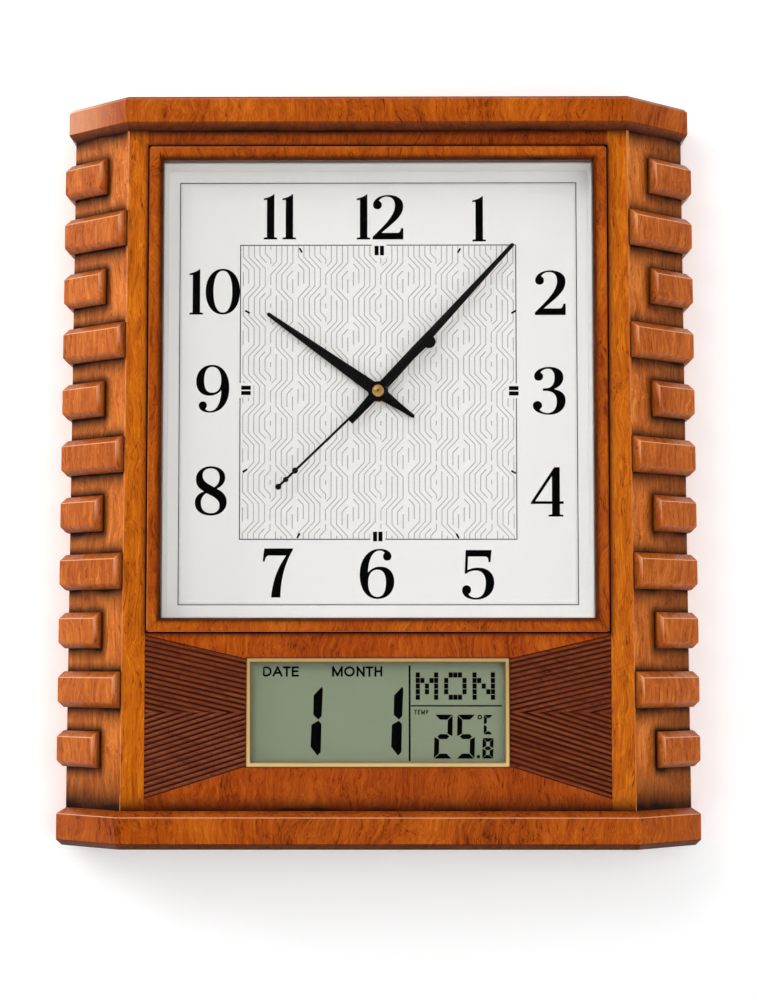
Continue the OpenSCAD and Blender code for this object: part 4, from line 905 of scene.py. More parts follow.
# Outlines of the numerals, drawn in millimetres from the left end of their foot line
GLYPHS = {
    "0": (17.6, "M 8.8 23.6 C 14 23.6 17.6 18.8 17.6 11.8 C 17.6 4.8 14 0 8.8 0 "
          "C 3.6 0 0 4.8 0 11.8 C 0 18.8 3.6 23.6 8.8 23.6 Z "
          "M 8.8 22.6 C 5.8 22.6 4 18.4 4 11.8 C 4 5.2 5.8 1 8.8 1 "
          "C 11.8 1 13.6 5.2 13.6 11.8 C 13.6 18.4 11.8 22.6 8.8 22.6 Z"),
    "1": (6.9, "M 0 0 L 6.9 0 L 6.9 0.9 L 5.4 1.1 L 5.4 23.7 C 4.4 22.6 2.4 21.6 0 21.2 "
          "L 0 20.3 L 1.6 20.4 L 1.6 1.1 L 0 0.9 Z"),
    "2": (15.7, "M 0 0 L 15.7 0 L 15.7 5.8 L 14.5 5.8 C 14.2 4.2 13.8 3.4 12.5 3.4 L 4.6 3.4 "
          "C 9.6 8 15.7 11.6 15.7 17.2 C 15.7 20.8 12.6 23 8 23 C 3.4 23 0.2 20.6 0.2 17.8 "
          "C 0.2 16.5 1.2 15.6 2.5 15.6 C 3.8 15.6 4.7 16.6 4.7 17.8 "
          "C 4.7 18.9 4.1 19.6 3.2 20 C 4.2 21.4 5.6 22.1 7.2 22.1 "
          "C 9.8 22.1 11.4 20.6 11.4 17.4 C 11.4 12.6 6.4 7.6 0 1.4 Z"),
    "3": (16.7, "M 8.4 24.5 C 12.6 24.5 15.6 22.6 15.6 19.2 C 15.6 16.4 13.8 14.2 10.8 13.1 "
          "C 14.6 12.4 16.7 10.4 16.7 7.4 C 16.7 3 13.2 0 8.4 0 C 3.6 0 0 2 0 4.7 "
          "C 0 6 1.1 7 2.4 7 C 3.7 7 4.7 6 4.7 4.8 C 4.7 3.8 4.2 3.2 3.4 2.8 "
          "C 4.4 1.5 5.8 0.9 7.4 0.9 C 10.4 0.9 12.2 3.2 12.2 6.9 C 12.2 10.4 10.2 12.2 6.4 12.2 "
          "L 5.1 12.2 L 5.1 13.5 L 6.4 13.5 C 9.6 13.6 11.1 15.6 11.1 19.2 "
          "C 11.1 22 9.8 23.5 7.8 23.5 C 6.2 23.5 4.8 22.8 4 21.6 "
          "C 4.8 21.2 5.3 20.5 5.3 19.6 C 5.3 18.3 4.3 17.4 3 17.4 C 1.7 17.4 0.7 18.3 0.7 19.6 "
          "C 0.7 22.4 4.2 24.5 8.4 24.5 Z"),
    "4": (16.6, "M 14.7 25.1 L 14.7 7.8 L 16.6 7.8 L 16.6 6.4 L 14.7 6.4 L 14.7 1.1 L 16.4 0.9 "
          "L 16.4 0 L 8.9 0 L 8.9 0.9 L 10.7 1.1 L 10.7 6.4 L 0 6.4 L 0 7.2 L 11.9 25.1 Z "
          "M 10.7 20.5 L 10.7 7.8 L 2.2 7.8 Z"),
    "5": (16.3, "M 1.9 25.1 L 15 25.1 L 14.4 18.9 L 13.5 18.9 C 13.3 21 12.9 21.8 11.6 21.8 "
          "L 3.1 21.8 L 2.8 14.9 C 4.4 15.8 6.2 16.2 8.4 16.2 C 13.2 16.2 16.3 13.2 16.3 8.6 "
          "C 16.3 3.4 12.4 0 7 0 C 2.8 0 0 2 0 4.9 C 0 6.3 1 7.3 2.3 7.3 "
          "C 3.6 7.3 4.6 6.3 4.6 5 C 4.6 4 4.1 3.2 3.2 2.8 C 4.2 1.5 5.4 1 7 1 "
          "C 10.2 1 12 3.8 12 8.4 C 12 12.4 10.2 14.7 7.2 14.7 C 5 14.7 3.4 14.2 2.2 13.1 "
          "L 1.3 13.2 Z"),
    "6": (17.5, "M 10.2 25.4 C 13.4 25.4 16.1 23.9 16.1 21.6 C 16.1 20.3 15.2 19.4 13.9 19.4 "
          "C 12.7 19.4 11.8 20.3 11.8 21.5 C 11.8 22.3 12.1 22.9 12.7 23.3 "
          "C 12 24.1 11.2 24.5 10.1 24.5 C 6.6 24.5 4.4 20.2 4.2 13.5 "
          "C 5.8 15.4 8 16.4 10.6 16.4 C 14.8 16.4 17.5 13.4 17.5 8.8 C 17.5 3.6 14 0 9 0 "
          "C 3.6 0 0 4.8 0 12.4 C 0 20.2 4.2 25.4 10.2 25.4 Z "
          "M 9 14.8 C 6 14.8 4.3 12.4 4.3 8.2 C 4.3 3.8 6 1.1 9 1.1 "
          "C 11.9 1.1 13.3 3.8 13.3 8.4 C 13.3 12.6 11.9 14.8 9 14.8 Z"),
    "7": (15.4, "M 0.8 24.8 L 15.4 24.8 L 15.2 23.9 C 11.2 17 9.2 9.6 9 0 L 4.3 0 "
          "C 5 8.2 7.4 15 11.9 21.2 L 3.4 21.2 C 1.9 21.2 1.4 20.2 1.1 18.2 L 0 18.2 Z"),
    "8": (16.2, "M 8.1 25.1 C 12.4 25.1 15.4 22.8 15.4 19.4 C 15.4 16.8 13.8 15 11.1 13.6 "
          "C 14.4 12.2 16.2 10 16.2 6.9 C 16.2 2.8 12.8 0 8.1 0 C 3.4 0 0 2.6 0 6.5 "
          "C 0 9.4 1.6 11.2 4.6 12.3 C 1.8 13.8 0.5 15.8 0.5 18.4 C 0.5 22.4 3.6 25.1 8.1 25.1 Z "
          "M 8 24 C 5.4 24 3.9 22.6 3.9 20.4 C 3.9 17.6 6.2 16.4 9.8 14.4 "
          "C 11.6 15.6 12.5 17.2 12.5 19.4 C 12.5 22.2 10.8 24 8 24 Z "
          "M 8.2 1.2 C 5 1.2 3.1 3.2 3.1 6.4 C 3.1 8.6 4 10.2 5.8 11.4 "
          "C 9.6 9.6 12.5 8.2 12.5 5.2 C 12.5 2.8 10.8 1.2 8.2 1.2 Z"),
}

# The 9 is the 6 turned round, and a little smaller
NINE_SHARE = 0.965

# Each hour's digits, the middle of its numeral from the dial's centre, and the digits' gap
NUMERALS = (
    ("12", 1.0, 90.5, 1.2), ("1", 51.6, 89.4, 0), ("2", 87.7, 51.1, 0), ("3", 86.9, 0.8, 0),
    ("4", 85.6, -50.7, 0), ("5", 50.5, -92.7, 0), ("6", -0.6, -92.2, 0),
    ("7", -50.7, -91.7, 0), ("8", -84.8, -50.1, 0), ("9", -84.1, 2.0, 0),
    ("10", -83.3, 51.9, 1.3), ("11", -50.2, 90.6, 2.7),
)

# One tile of the dial's line pattern, on a grid of ten by ten
PATTERN = (
    ((0.5, 10), (0.5, 8), (2.5, 6), (2.5, 3), (0.5, 1), (0.5, 0)),
    ((1.5, 10), (1.5, 8), (3.5, 6), (3.5, 3), (1.5, 1), (1.5, 0)),
    ((2.5, 10), (2.5, 8), (4.5, 6), (4.5, 3), (2.5, 1), (2.5, 0)),
    ((0.5, 6.8), (1.5, 5.8), (1.5, 3.4)),
    ((0.5, 5.4), (0.5, 3.0)),
    ((3.5, 10), (3.5, 8.2), (4.7, 7)),
    ((3.5, 0), (3.5, 0.8), (4.5, 1.8)),
    ((4.5, 10), (4.5, 8.6), (5.5, 7.6), (5.5, 6.8)),
    ((4.5, 0), (4.5, 0.6), (5.5, 1.6), (5.5, 2.6)),
    ((9.5, 10), (9.5, 7), (7.5, 5), (7.5, 2.5), (9.5, 0.5), (9.5, 0)),
    ((8.5, 10), (8.5, 7), (6.5, 5), (6.5, 2.5), (8.5, 0.5), (8.5, 0)),
    ((7.5, 10), (7.5, 7), (5.5, 5), (5.5, 3.2)),
    ((6.5, 10), (6.5, 7.2), (5.7, 6.4)),
    ((5.5, 10), (5.5, 9.2)),
    ((6.5, 0), (6.5, 1.4)),
    ((7.5, 0), (7.5, 0.6)),
    ((9.5, 5.6), (8.5, 4.6), (8.5, 2.4)),
    ((9.5, 4.2), (9.5, 1.8)),
)
TILE_GRID = 10
TILES = (5, 5)

# The printed borders, from the dial's centre. The inner one is a little above the middle. A white
# line inside the outer one is a painted highlight, for the lit edge of a field pressed in.
INNER_HALF = (70.2, 75.2)
INNER_RISE = 0.5
OUTER_HALF = (101.1, 107.8)
HIGHLIGHT_INSET = 0.85
HIGHLIGHT_WIDTH = 0.5

# The pairs of bars at four hours: name, middle, and whether they stand upright. Each pair has a
# bare ground round it, which breaks the border.
BARS = (("12", 0.6, 72.9, True), ("6", -0.2, -73.3, True),
        ("9", -67.2, 1.15, False), ("3", 68.9, 0.8, False))
BAR_GROUND = 1.4

# The middles of the ticks at the other hours, and their width
TICKS = {1: (41.3, 72.8), 2: (69.0, 41.2), 4: (68.6, -40.6), 5: (40.2, -73.0),
         7: (-40.3, -72.8), 8: (-67.6, -39.8), 10: (-66.6, 41.4), 11: (-39.5, 73.1)}
TICK_WIDTH = 0.95


def corners(half, rise=0.0):
    """The four corners of a rectangle round the dial's centre."""
    return [(sx * half[0], sz * half[1] + rise)
            for sx, sz in ((-1, -1), (1, -1), (1, 1), (-1, 1))]


def print_on_card(piece, name, ink, x=0.0, z=0.0, lift=0.0):
    """Lays a flat piece on the dial card, its origin at a point from the dial's centre."""
    face_front(piece, x, DIAL_Y - lift, DIAL_Z + z)
    finished(piece, name, "case", ink)


def pattern_paths():
    """The dial's line pattern: its tile laid five by five inside the inner border."""
    unit = [2 * half / count / TILE_GRID for half, count in zip(INNER_HALF, TILES)]
    return [[((x + TILE_GRID * column) * unit[0] - INNER_HALF[0],
              (z + TILE_GRID * row) * unit[1] - INNER_HALF[1] + INNER_RISE) for x, z in path]
            for column in range(TILES[0]) for row in range(TILES[1]) for path in PATTERN]


def numeral(digits, gap, thickness):
    """The digits of an hour as one flat mesh, and its width and height in millimetres."""
    piece = flat_curve("numeral_" + digits, thickness)
    shift = 0.0
    for digit in digits:
        width, path = GLYPHS["6" if digit == "9" else digit]
        drawn(piece.data, path, shift)
        shift += width + gap
    as_mesh(piece)
    span = [max(v.co[i] for v in piece.data.vertices) / MM for i in (0, 1)]
    if digits == "9":
        with editing(piece):
            bpy.ops.transform.resize(value=(-NINE_SHARE, -NINE_SHARE, 1),
                                     center_override=(span[0] / 2 * MM, span[1] / 2 * MM, 0))
    only(piece)
    bpy.ops.object.transform_apply(location=True, rotation=True, scale=True)
    return piece, span


def flat_bar(name, slot, material, x, z, half, back, front, edge):
    """A printed bar round a point of the dial, between two heights over the card."""
    bar = plate(x - half[0], x + half[0], DIAL_Y - front, DIAL_Y - back,
                DIAL_Z + z - half[1], DIAL_Z + z + half[1])
    soften(bar, edge, 1)
    finished(bar, name, "case", material)


def hour_bars(sizes, card, ink):
    """The pairs of bars at 12, 3, 6 and 9, each on its bare ground."""
    width, tall, step = sizes.bar_width / MM, sizes.bar_length / MM, sizes.print_step / MM
    off, edge = (width + sizes.bar_gap / MM) / 2, 0.1 * sizes.print_step
    for name, x, z, upright in BARS:
        half = (off + width / 2, tall / 2) if upright else (tall / 2, off + width / 2)
        flat_bar("bar_ground_" + name, CARD, card, x, z,
                 [size + BAR_GROUND for size in half], 0, 2 * step, edge)
        half = (width / 2, tall / 2) if upright else (tall / 2, width / 2)
        for letter, turn in (("a", -1), ("b", 1)):
            at = (x + turn * off, z) if upright else (x, z + turn * off)
            flat_bar(f"hour_bar_{name}_{letter}", BLACK, ink, *at, half, 2 * step, 3 * step,
                     edge)


def tick_paths(tick_length):
    """The ticks of the other hours, each pointing away from the dial's centre."""
    paths = []
    for hour, (x, z) in TICKS.items():
        angle = math.radians(30 * hour)
        reach = Vector((math.sin(angle), math.cos(angle))) * tick_length / 2
        paths.append([(x - reach.x, z - reach.y), (x + reach.x, z + reach.y)])
    return paths


class MakeDial(Operator):
    """Dial card, its surround and glass, and all that is printed on the card"""
    bl_idname = "clock.dial"
    bl_label = "Dial"

    def execute(self, context):
        sizes, tones = context.scene.clock_sizes, context.scene.clock_colours
        # Coated card, offset printed: a matt white with a very faint tooth
        card = even_finish("coated_card_printed", tones.card, roughness=0.6, mottle=0.008,
                           size=1.5, bump=0.004, specular=0.3)
        # ABS, moulded white with a satin texture: a soft even sheen down the walls of the dial
        shell = even_finish("white_abs_moulded", tones.surround, roughness=0.45, mottle=0.012,
                            size=0.8, bump=0.01, specular=0.4)
        # Screen ink, printed black: dense and dull, hardly uneven
        ink = even_finish("black_screen_ink", tones.ink, roughness=0.5, mottle=0.12, size=0.6,
                          bump=0.004, specular=0.02)
        # The same ink in beige, white and brown: thin lines that are nearly as dull as the card.
        # The white one paints a highlight inside the outer border.
        beige, white, brown = (
            even_finish(name, tone, roughness=0.6, mottle=mottle, size=3.0, bump=0.002,
                        specular=0.2)
            for name, tone, mottle in (("beige_screen_ink", tones.line, 0.1),
                                       ("white_ink_painted_highlight", linear("#fbfaf8"), 0.01),
                                       ("brown_screen_ink", tones.border, 0.12)))

        reworked("dial_surround", "dial_surround_shell", "case", shell,
                 2 * sizes.small_edge)
        reworked("dial_plate", "dial_card", "case", card, sizes.small_edge, 2)
        dress(("dial_glass",), clear_pane("float_glass_polished"))

        for name, width, borders, material in (
                ("dial_borders", sizes.border_line,
                 [corners(OUTER_HALF), corners(INNER_HALF, INNER_RISE)], brown),
                # A painted highlight: a white line inside the outer border
                ("dial_border_painted_highlight", HIGHLIGHT_WIDTH * MM,
                 [corners([half - HIGHLIGHT_INSET for half in OUTER_HALF])], white)):
            piece = lines(name, width, borders, closed=True)
            print_on_card(piece, name, material)
        piece = lines("dial_pattern", sizes.pattern_line, pattern_paths())
        print_on_card(piece, "dial_pattern", beige)

        step = sizes.print_step / MM
        for digits, x, z, gap in NUMERALS:
            piece, span = numeral(digits, gap, sizes.print_step)
            print_on_card(piece, "numeral_" + digits, ink,
                          x - span[0] / 2, z - span[1] / 2, step)
        hour_bars(sizes, card, ink)
        piece = lines("hour_ticks", TICK_WIDTH * MM, tick_paths(sizes.tick_length / MM))
        print_on_card(piece, "hour_ticks", ink, lift=step)
        return {"FINISHED"}


# Hands

# Each hand that has a pressed ridge: its node, the angle it points at, clockwise in degrees, and
# its ridge's share of the full height
RIDGED_HANDS = (("hour_hand", 305.4, 0.6), ("minute_hand", 42.4, 1.0))


def press_ridge(piece, angle, height):
    """Raises the middle of a hand's blade, from its hub to its point."""
    angle = math.radians(angle)
    across = Vector((math.cos(angle), 0, -math.sin(angle)))
    along = Vector((math.sin(angle), 0, math.cos(angle)))
    hub = Vector((0, 0, DIAL_Z * MM))
    front = min(v.co.y for v in piece.data.vertices)
    with editing(piece):
        for spot, normal in ((hub, across), (hub + along * 9 * MM, along),
                             (hub - along * 8 * MM, along)):
            bpy.ops.mesh.select_all(action="SELECT")
            bpy.ops.mesh.bisect(plane_co=spot, plane_no=normal)
        bpy.ops.mesh.select_all(action="DESELECT")
    reach = max((v.co - hub).dot(along) for v in piece.data.vertices)

    def on_ridge(spot):
        return (abs((spot - hub).dot(across)) < 0.05 * MM and spot.y < front + 0.05 * MM
                and 8.5 * MM < (spot - hub).dot(along) < reach - 0.5 * MM)

    shift_points(piece, on_ridge, (0, -height, 0))


class MakeHands(Operator):
    """Hour, minute and second hands and their brass cap"""
    bl_idname = "clock.hands"
    bl_label = "Hands"

    def execute(self, context):
        sizes, tones = context.scene.clock_sizes, context.scene.clock_colours
        blade_edge = 0.6 * sizes.small_edge
        # Aluminium, stamped and enamelled satin black: a dull gleam down one side of the ridge
        enamel = even_finish("satin_black_enamel", tones.enamel, roughness=0.3, mottle=0.2,
                             size=1.5, bump=0.006, specular=0.3)
        # Brass, turned and polished: a small warm gleam, softened by the tool's fine rings
        brass = even_finish("polished_brass", tones.brass, roughness=0.38, mottle=0.1, size=0.5,
                            bump=0.004, metallic=0.75)
        for node, angle, share in RIDGED_HANDS:
            piece = copy_of(node)
            press_ridge(piece, angle, sizes.hand_ridge * share)
            soften(piece, blade_edge, 2, 35)
            finished(piece, node + "_blade", node, enamel)
        reworked("second_hand", "second_hand_rod", "second_hand", enamel, blade_edge, 2, 35)
        reworked("hand_cap", "hand_cap_turned", "second_hand", brass,
                 0.5 * sizes.small_edge, 2, 35)

        # A black disc in the middle of the cap: painted shade for the hollow at the arbor's end
        front = min(v.co.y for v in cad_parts["hand_cap"].data.vertices)
        bpy.ops.object.select_all(action="DESELECT")
        bpy.ops.mesh.primitive_cylinder_add(
            vertices=16, radius=0.4 * MM, depth=0.1 * MM, location=(0, front, DIAL_Z * MM),
            rotation=(math.radians(90), 0, 0))
        piece = bpy.context.object
        soften(piece, 0.2 * sizes.small_edge, 2, 35)
        finished(piece, "hand_cap_painted_hole_shade", "second_hand", enamel)
        return {"FINISHED"}


# Calendar display

# The display is laid out in millimetres from its centre. How far its cell is set back, so that
# the figures on it stay inside the CAD's form, how far they are, and their thickness.
CELL_SINK = 0.15
FIGURE_SINK = 0.13
FIGURE_THICKNESS = 0.02

# Which of the seven segments each figure lights: top, upper left, upper right, middle, lower
# left, lower right, bottom
SEGMENTS = {"2": "1011101", "5": "1101011", "8": "1111111", "C": "1100101"}
# Seven-segment figures: name, sign, lower left corner, width, height, bar and gap
FIGURES = (
    ("degrees_tens", "2", 27.6, -22.8, 8.9, 21.6, 2.45, 0.22),
    ("degrees_units", "5", 38.8, -22.8, 8.9, 21.6, 2.45, 0.22),
    ("degrees_tenths", "8", 51.5, -22.8, 5.4, 10.1, 1.8, 0.1),
    ("celsius_sign", "C", 52.2, -10.9, 4.5, 9.6, 1.5, 0.1),
)
FIGURE_SLANT = 0.025
# The weekday in square dots: each letter's left side, the top, and the dots' pitch and size
WEEKDAY = (("M", 18.7), ("O", 32.75), ("N", 46.8))
WEEKDAY_TOP = 19.65
DOT_PITCH = (2.27, 2.76)
DOT_SIZE = (2.08, 2.5)
DOT_LETTERS = {
    "M": ("10001", "11011", "10101", "10101", "10001"),
    "O": ("01110", "10001", "10001", "10001", "01110"),
    "N": ("10001", "11001", "10101", "10011", "10001"),
}
# The large figure 1 of the date: two pointed bars, from its lower left
LARGE_ONE = (
    ((5.0, 33.7), (5.5, 32.3), (4.9, 19.2), (3.3, 17.4), (0.7, 19.8), (0.9, 29.4)),
    ((3.3, 16.9), (4.8, 15.2), (4.5, 1.5), (2.8, -0.3), (-0.6, 4.1), (-0.2, 14.9)),
)
LARGE_ONES = (("date_figure", -32.72, -21.06), ("month_figure", 7.1, -21.06))
# The rules between the fields: left, right, foot and top
RULES = ((15.2, 16.15, -24.0, 23.1), (16.35, 61.3, 2.8, 3.5))
# Round marks: name, middle, and the radii of their outlines
ROUND_MARKS = (("decimal_point", 49.65, -21.8, (0.85,)), ("degree_sign", 50.4, -2.4, (1.2, 0.55)))
# Letters as strokes in a box of 1 by 1
ROUND = [(0.5 + 0.5 * math.sin(a), 0.5 + 0.5 * math.cos(a))
         for a in (math.pi * k / 10 for k in range(21))]
LETTERS = {
    "A": (((0, 0), (0.5, 1)), ((0.5, 1), (1, 0)), ((0.18, 0.34), (0.82, 0.34))),
    "D": (((0, 0), (0, 1), (0.45, 1), (0.8, 0.88), (0.97, 0.66), (0.97, 0.34), (0.8, 0.12),
           (0.45, 0), (0, 0)),),
    "E": (((1, 1), (0, 1)), ((0, 1), (0, 0)), ((0, 0), (1, 0)), ((0, 0.53), (0.92, 0.53))),
    "H": (((0, 0), (0, 1)), ((1, 0), (1, 1)), ((0, 0.53), (1, 0.53))),
    "M": (((0, 0), (0, 1)), ((0, 1), (0.5, 0.05)), ((0.5, 0.05), (1, 1)), ((1, 1), (1, 0))),
    "N": (((0, 0), (0, 1)), ((0, 1), (1, 0)), ((1, 0), (1, 1))),
    "O": (ROUND,),
    "P": (((0, 0), (0, 1), (0.6, 1), (0.9, 0.92), (1, 0.75), (0.9, 0.56), (0.6, 0.48),
           (0, 0.48)),),
    "T": (((0, 1), (1, 1)), ((0.5, 1), (0.5, 0))),
}
# Each caption: its foot, height, stroke, slant, and each letter with its left and right
CAPTIONS = (
    ("date", 17.57, 5.03, 0.98, 0.0, (("D", -57.0, -52.6), ("A", -52.2, -47.2),
                                      ("T", -47.1, -43.2), ("E", -42.7, -39.2))),
    ("month", 17.57, 5.03, 0.98, 0.0, (("M", -22.7, -17.4), ("O", -16.8, -11.4),
                                       ("N", -10.6, -6.5), ("T", -6.1, -2.3),
                                       ("H", -1.7, 2.2))),
    ("temp", -1.13, 2.36, 0.42, 0.1, (("T", 17.65, 19.3), ("E", 19.6, 20.9),
                                       ("M", 21.3, 23.1), ("P", 23.6, 24.8))),
)


def figure_outlines(sign, wide, tall, bar, slant, gap):
    """Outlines of one seven-segment figure, from its lower left corner."""
    half, mid = bar / 2, tall / 2

    def across(z, cut_low, cut_high):
        return [(gap + cut_low[0], z - half), (wide - gap - cut_low[1], z - half),
                (wide - gap - cut_high[1], z + half), (gap + cut_high[0], z + half)]

    shapes = [
        [(gap, tall), (wide - gap, tall), (wide - gap - bar, tall - bar), (gap + bar, tall - bar)],
        [(0, tall - gap), (bar, tall - gap - bar), (bar, mid + half + gap), (0, mid + gap)],
        [(wide, tall - gap), (wide, mid + gap), (wide - bar, mid + half + gap),
         (wide - bar, tall - gap - bar)],
        [(gap + half, mid), (gap + bar, mid + half), (wide - gap - bar, mid + half),
         (wide - gap - half, mid), (wide - gap - bar, mid - half), (gap + bar, mid - half)],
        [(0, gap), (0, mid - gap), (bar, mid - half - gap), (bar, gap + bar)],
        [(wide, gap), (wide - bar, gap + bar), (wide - bar, mid - half - gap), (wide, mid - gap)],
        [(gap, 0), (gap + bar, bar), (wide - gap - bar, bar), (wide - gap, 0)],
    ]
    return [[(x + z * slant, z) for x, z in shape]
            for shape, lit in zip(shapes, SEGMENTS[sign]) if lit == "1"]


def box_outline(left, right, foot, top):
    """The corners of an upright rectangle."""
    return [(left, foot), (right, foot), (right, top), (left, top)]


def circle_outline(x, z, radius, points=24):
    """Points round a circle."""
    turns = (2 * math.pi * k / points for k in range(points))
    return [(x + radius * math.cos(a), z + radius * math.sin(a)) for a in turns]


def weekday_outlines():
    """The dots of the weekday's three letters."""
    dots = []
    for letter, x0 in WEEKDAY:
        for row, bits in enumerate(DOT_LETTERS[letter]):
            for column, bit in enumerate(bits):
                if bit == "1":
                    x, z = x0 + DOT_PITCH[0] * column, WEEKDAY_TOP - DOT_PITCH[1] * row
                    dots.append(box_outline(x, x + DOT_SIZE[0], z - DOT_SIZE[1], z))
    return dots


def show(outlines, name, x, y, z, lit):
    """Lays outlines on the display as one lit piece."""
    shape = flat_curve(name, FIGURE_THICKNESS * MM)
    for outline in outlines:
        path = " L ".join(f"{a} {b}" for a, b in outline)
        drawn(shape.data, f"M {path} Z")
    shape.data.resolution_u = 1
    as_mesh(shape)
    face_front(shape, x, y, DISPLAY_Z + z)
    finished(shape, name, "case", lit)


def caption_paths(foot, tall, stroke, slant, letters):
    """The strokes of a caption, whose ends reach as far as the strokes are wide."""
    paths = []
    for letter, left, right in letters:
        for marks in LETTERS[letter]:
            spots = [Vector((left + stroke / 2 + u * (right - left - stroke),
                             foot + stroke / 2 + v * (tall - stroke))) for u, v in marks]
            if marks[0] != marks[-1]:
                spots[0] += (spots[0] - spots[1]).normalized() * stroke / 2
                spots[-1] += (spots[-1] - spots[-2]).normalized() * stroke / 2
            paths.append([(spot.x + slant * (spot.y - foot), spot.y) for spot in spots])
    return paths


def trim_shade(x, y, z):
    """Painted shade on the gold: bright along the trim's crest, dark down its rounded sides and
    top.
    """
    rounding, crest, top_rail = 0.9, 0.02, 24
    down = ((y - TRIM_Y) / rounding) ** 0.5 if y > TRIM_Y + crest else 0.0
    return min(1.0, down) + (0.35 if z > DISPLAY_Z + top_rail else 0.0)


class MakeDisplay(Operator):
    """Metal trim, clear window and the display with its figures"""
    bl_idname = "clock.display"
    bl_label = "Calendar display"

    def execute(self, context):
        sizes, tones = context.scene.clock_sizes, context.scene.clock_colours
        # ABS, vacuum plated and lacquered gold: pale gold, more colour than mirror, so that its
        # flat shines; painted shade darkens its rounded edges and its top rail
        gold = even_finish("gold_plated_abs_trim", tones.trim, roughness=0.35, mottle=0.03,
                           size=9.0, bump=0.0, metallic=0.35, dark=linear("#74501f"))
        # Liquid crystal between polarisers: a dull green grey, slightly cloudy
        crystal = even_finish("unlit_liquid_crystal", tones.display, roughness=0.5, mottle=0.03,
                              size=25.0, bump=0.0, specular=0.25)
        # The same where it is lit: nearly black, without a gleam
        lit = even_finish("lit_liquid_crystal", tones.ink, roughness=0.5, mottle=0.1, size=1.0,
                          bump=0.0, specular=0.02)

        reworked("lcd_trim", "display_trim", "case", gold, 4.5 * sizes.small_edge, 5,
                 rule=trim_shade)
        dress(("lcd_window",), clear_pane("clear_acrylic_window"))
        piece = copy_of("lcd_panel")
        front = min(v.co.y for v in piece.data.vertices)
        shift_points(piece, lambda spot: spot.y < front + 0.1 * MM, (0, CELL_SINK * MM, 0))
        soften(piece, 0.5 * sizes.small_edge, 2)
        finished(piece, "display_cell", "case", crystal)

        y = front / MM + FIGURE_SINK
        for name, x, z in LARGE_ONES:
            show(LARGE_ONE, name, x, y, z, lit)
        for name, sign, x, z, wide, tall, bar, gap in FIGURES:
            show(figure_outlines(sign, wide, tall, bar, FIGURE_SLANT, gap), name, x, y, z, lit)
        show(weekday_outlines(), "weekday_dots", 0, y, 0, lit)
        show([box_outline(*rule) for rule in RULES], "display_rules", 0, y, 0, lit)
        for name, x, z, radii in ROUND_MARKS:
            show([circle_outline(x, z, radius) for radius in radii], name, 0, y, 0, lit)
        for word, foot, tall, stroke, slant, letters in CAPTIONS:
            name = "caption_" + word
            piece = lines(name, stroke * MM, caption_paths(foot, tall, stroke, slant, letters))
            face_front(piece, 0, y, DISPLAY_Z)
            finished(piece, name, "case", lit)
        return {"FINISHED"}


# Inside and back

class MakeMovement(Operator):
    """The clock movement behind the dial"""
    bl_idname = "clock.movement"
    bl_label = "Movement"

    def execute(self, context):
        # ABS, moulded black with a spark texture: a broad soft sheen
        dress(("movement_case", "movement_cover"),
              even_finish("black_abs_moulded", linear("#2c2d2f"), roughness=0.5, mottle=0.1,
                          size=0.7, bump=0.02))
        # Acetal, moulded: a waxy off-white, the same all over
        dress(("intermediate_wheel", "second_wheel", "third_wheel", "centre_wheel",
               "motion_wheel", "hour_wheel", "train_plate"),
              even_finish("acetal_moulded_gears", linear("#e4e0d2"), roughness=0.4, mottle=0.04,
                          size=1.0, bump=0.005))
        # ABS, moulded red: a plain bright knob
        dress(("set_knob",),
              even_finish("red_abs_knob", linear("#a8392c"), roughness=0.45, size=0.8))
        # Brass, turned: a clear warm mirror with fine rings
        dress(("movement_nut",),
              even_finish("turned_brass_bush", context.scene.clock_colours.brass, roughness=0.3,
                          mottle=0.1, size=0.6, bump=0.004, metallic=1.0))
        # Rubber, cut from sheet: black and quite dull
        dress(("movement_gasket",),
              even_finish("black_rubber_gasket", linear("#1b1b1b"), roughness=0.8, mottle=0.1,
                          size=1.0))
        # Magnet alloy, sintered: dark grey metal with a fine grain
        dress(("rotor",),
              even_finish("sintered_magnet", linear("#45474b"), roughness=0.35, mottle=0.1,
                          size=0.4, metallic=0.6))
        # Copper wire, wound: rings of bright and dark turns round the coil
        dress(("coil",),
              even_finish("wound_copper_wire", linear("#b8693a"), roughness=0.35, mottle=0.25,
                          size=0.3, bump=0.03, stretch=(0.1, 1, 0.1), metallic=0.8))
        # Silicon steel, stamped: a grey mirror, faintly clouded
        dress(("stator",),
              even_finish("stamped_silicon_steel", linear("#9a9da1"), roughness=0.35,
                          mottle=0.08, size=1.5, metallic=1.0))
        # Glass-fibre board, lacquered green: a deep green with cloudy lighter weave
        dress(("movement_circuit", "calendar_circuit"),
              even_finish("green_circuit_board", linear("#1f5a38"), roughness=0.4, mottle=0.15,
                          size=3.0, bump=0.01))
        # Steel cell in a printed plastic wrap: silver grey with a soft gleam along it
        dress(("battery_cells",),
              even_finish("printed_cell_wrap", linear("#8a8f96"), roughness=0.3, mottle=0.08,
                          size=4.0, metallic=0.5))
        # Spring steel, nickel plated: a bright pale mirror
        dress(("battery_contacts",),
              even_finish("nickel_plated_spring_steel", linear("#c6c8ca"), roughness=0.28,
                          size=1.0, metallic=1.0))
        return {"FINISHED"}


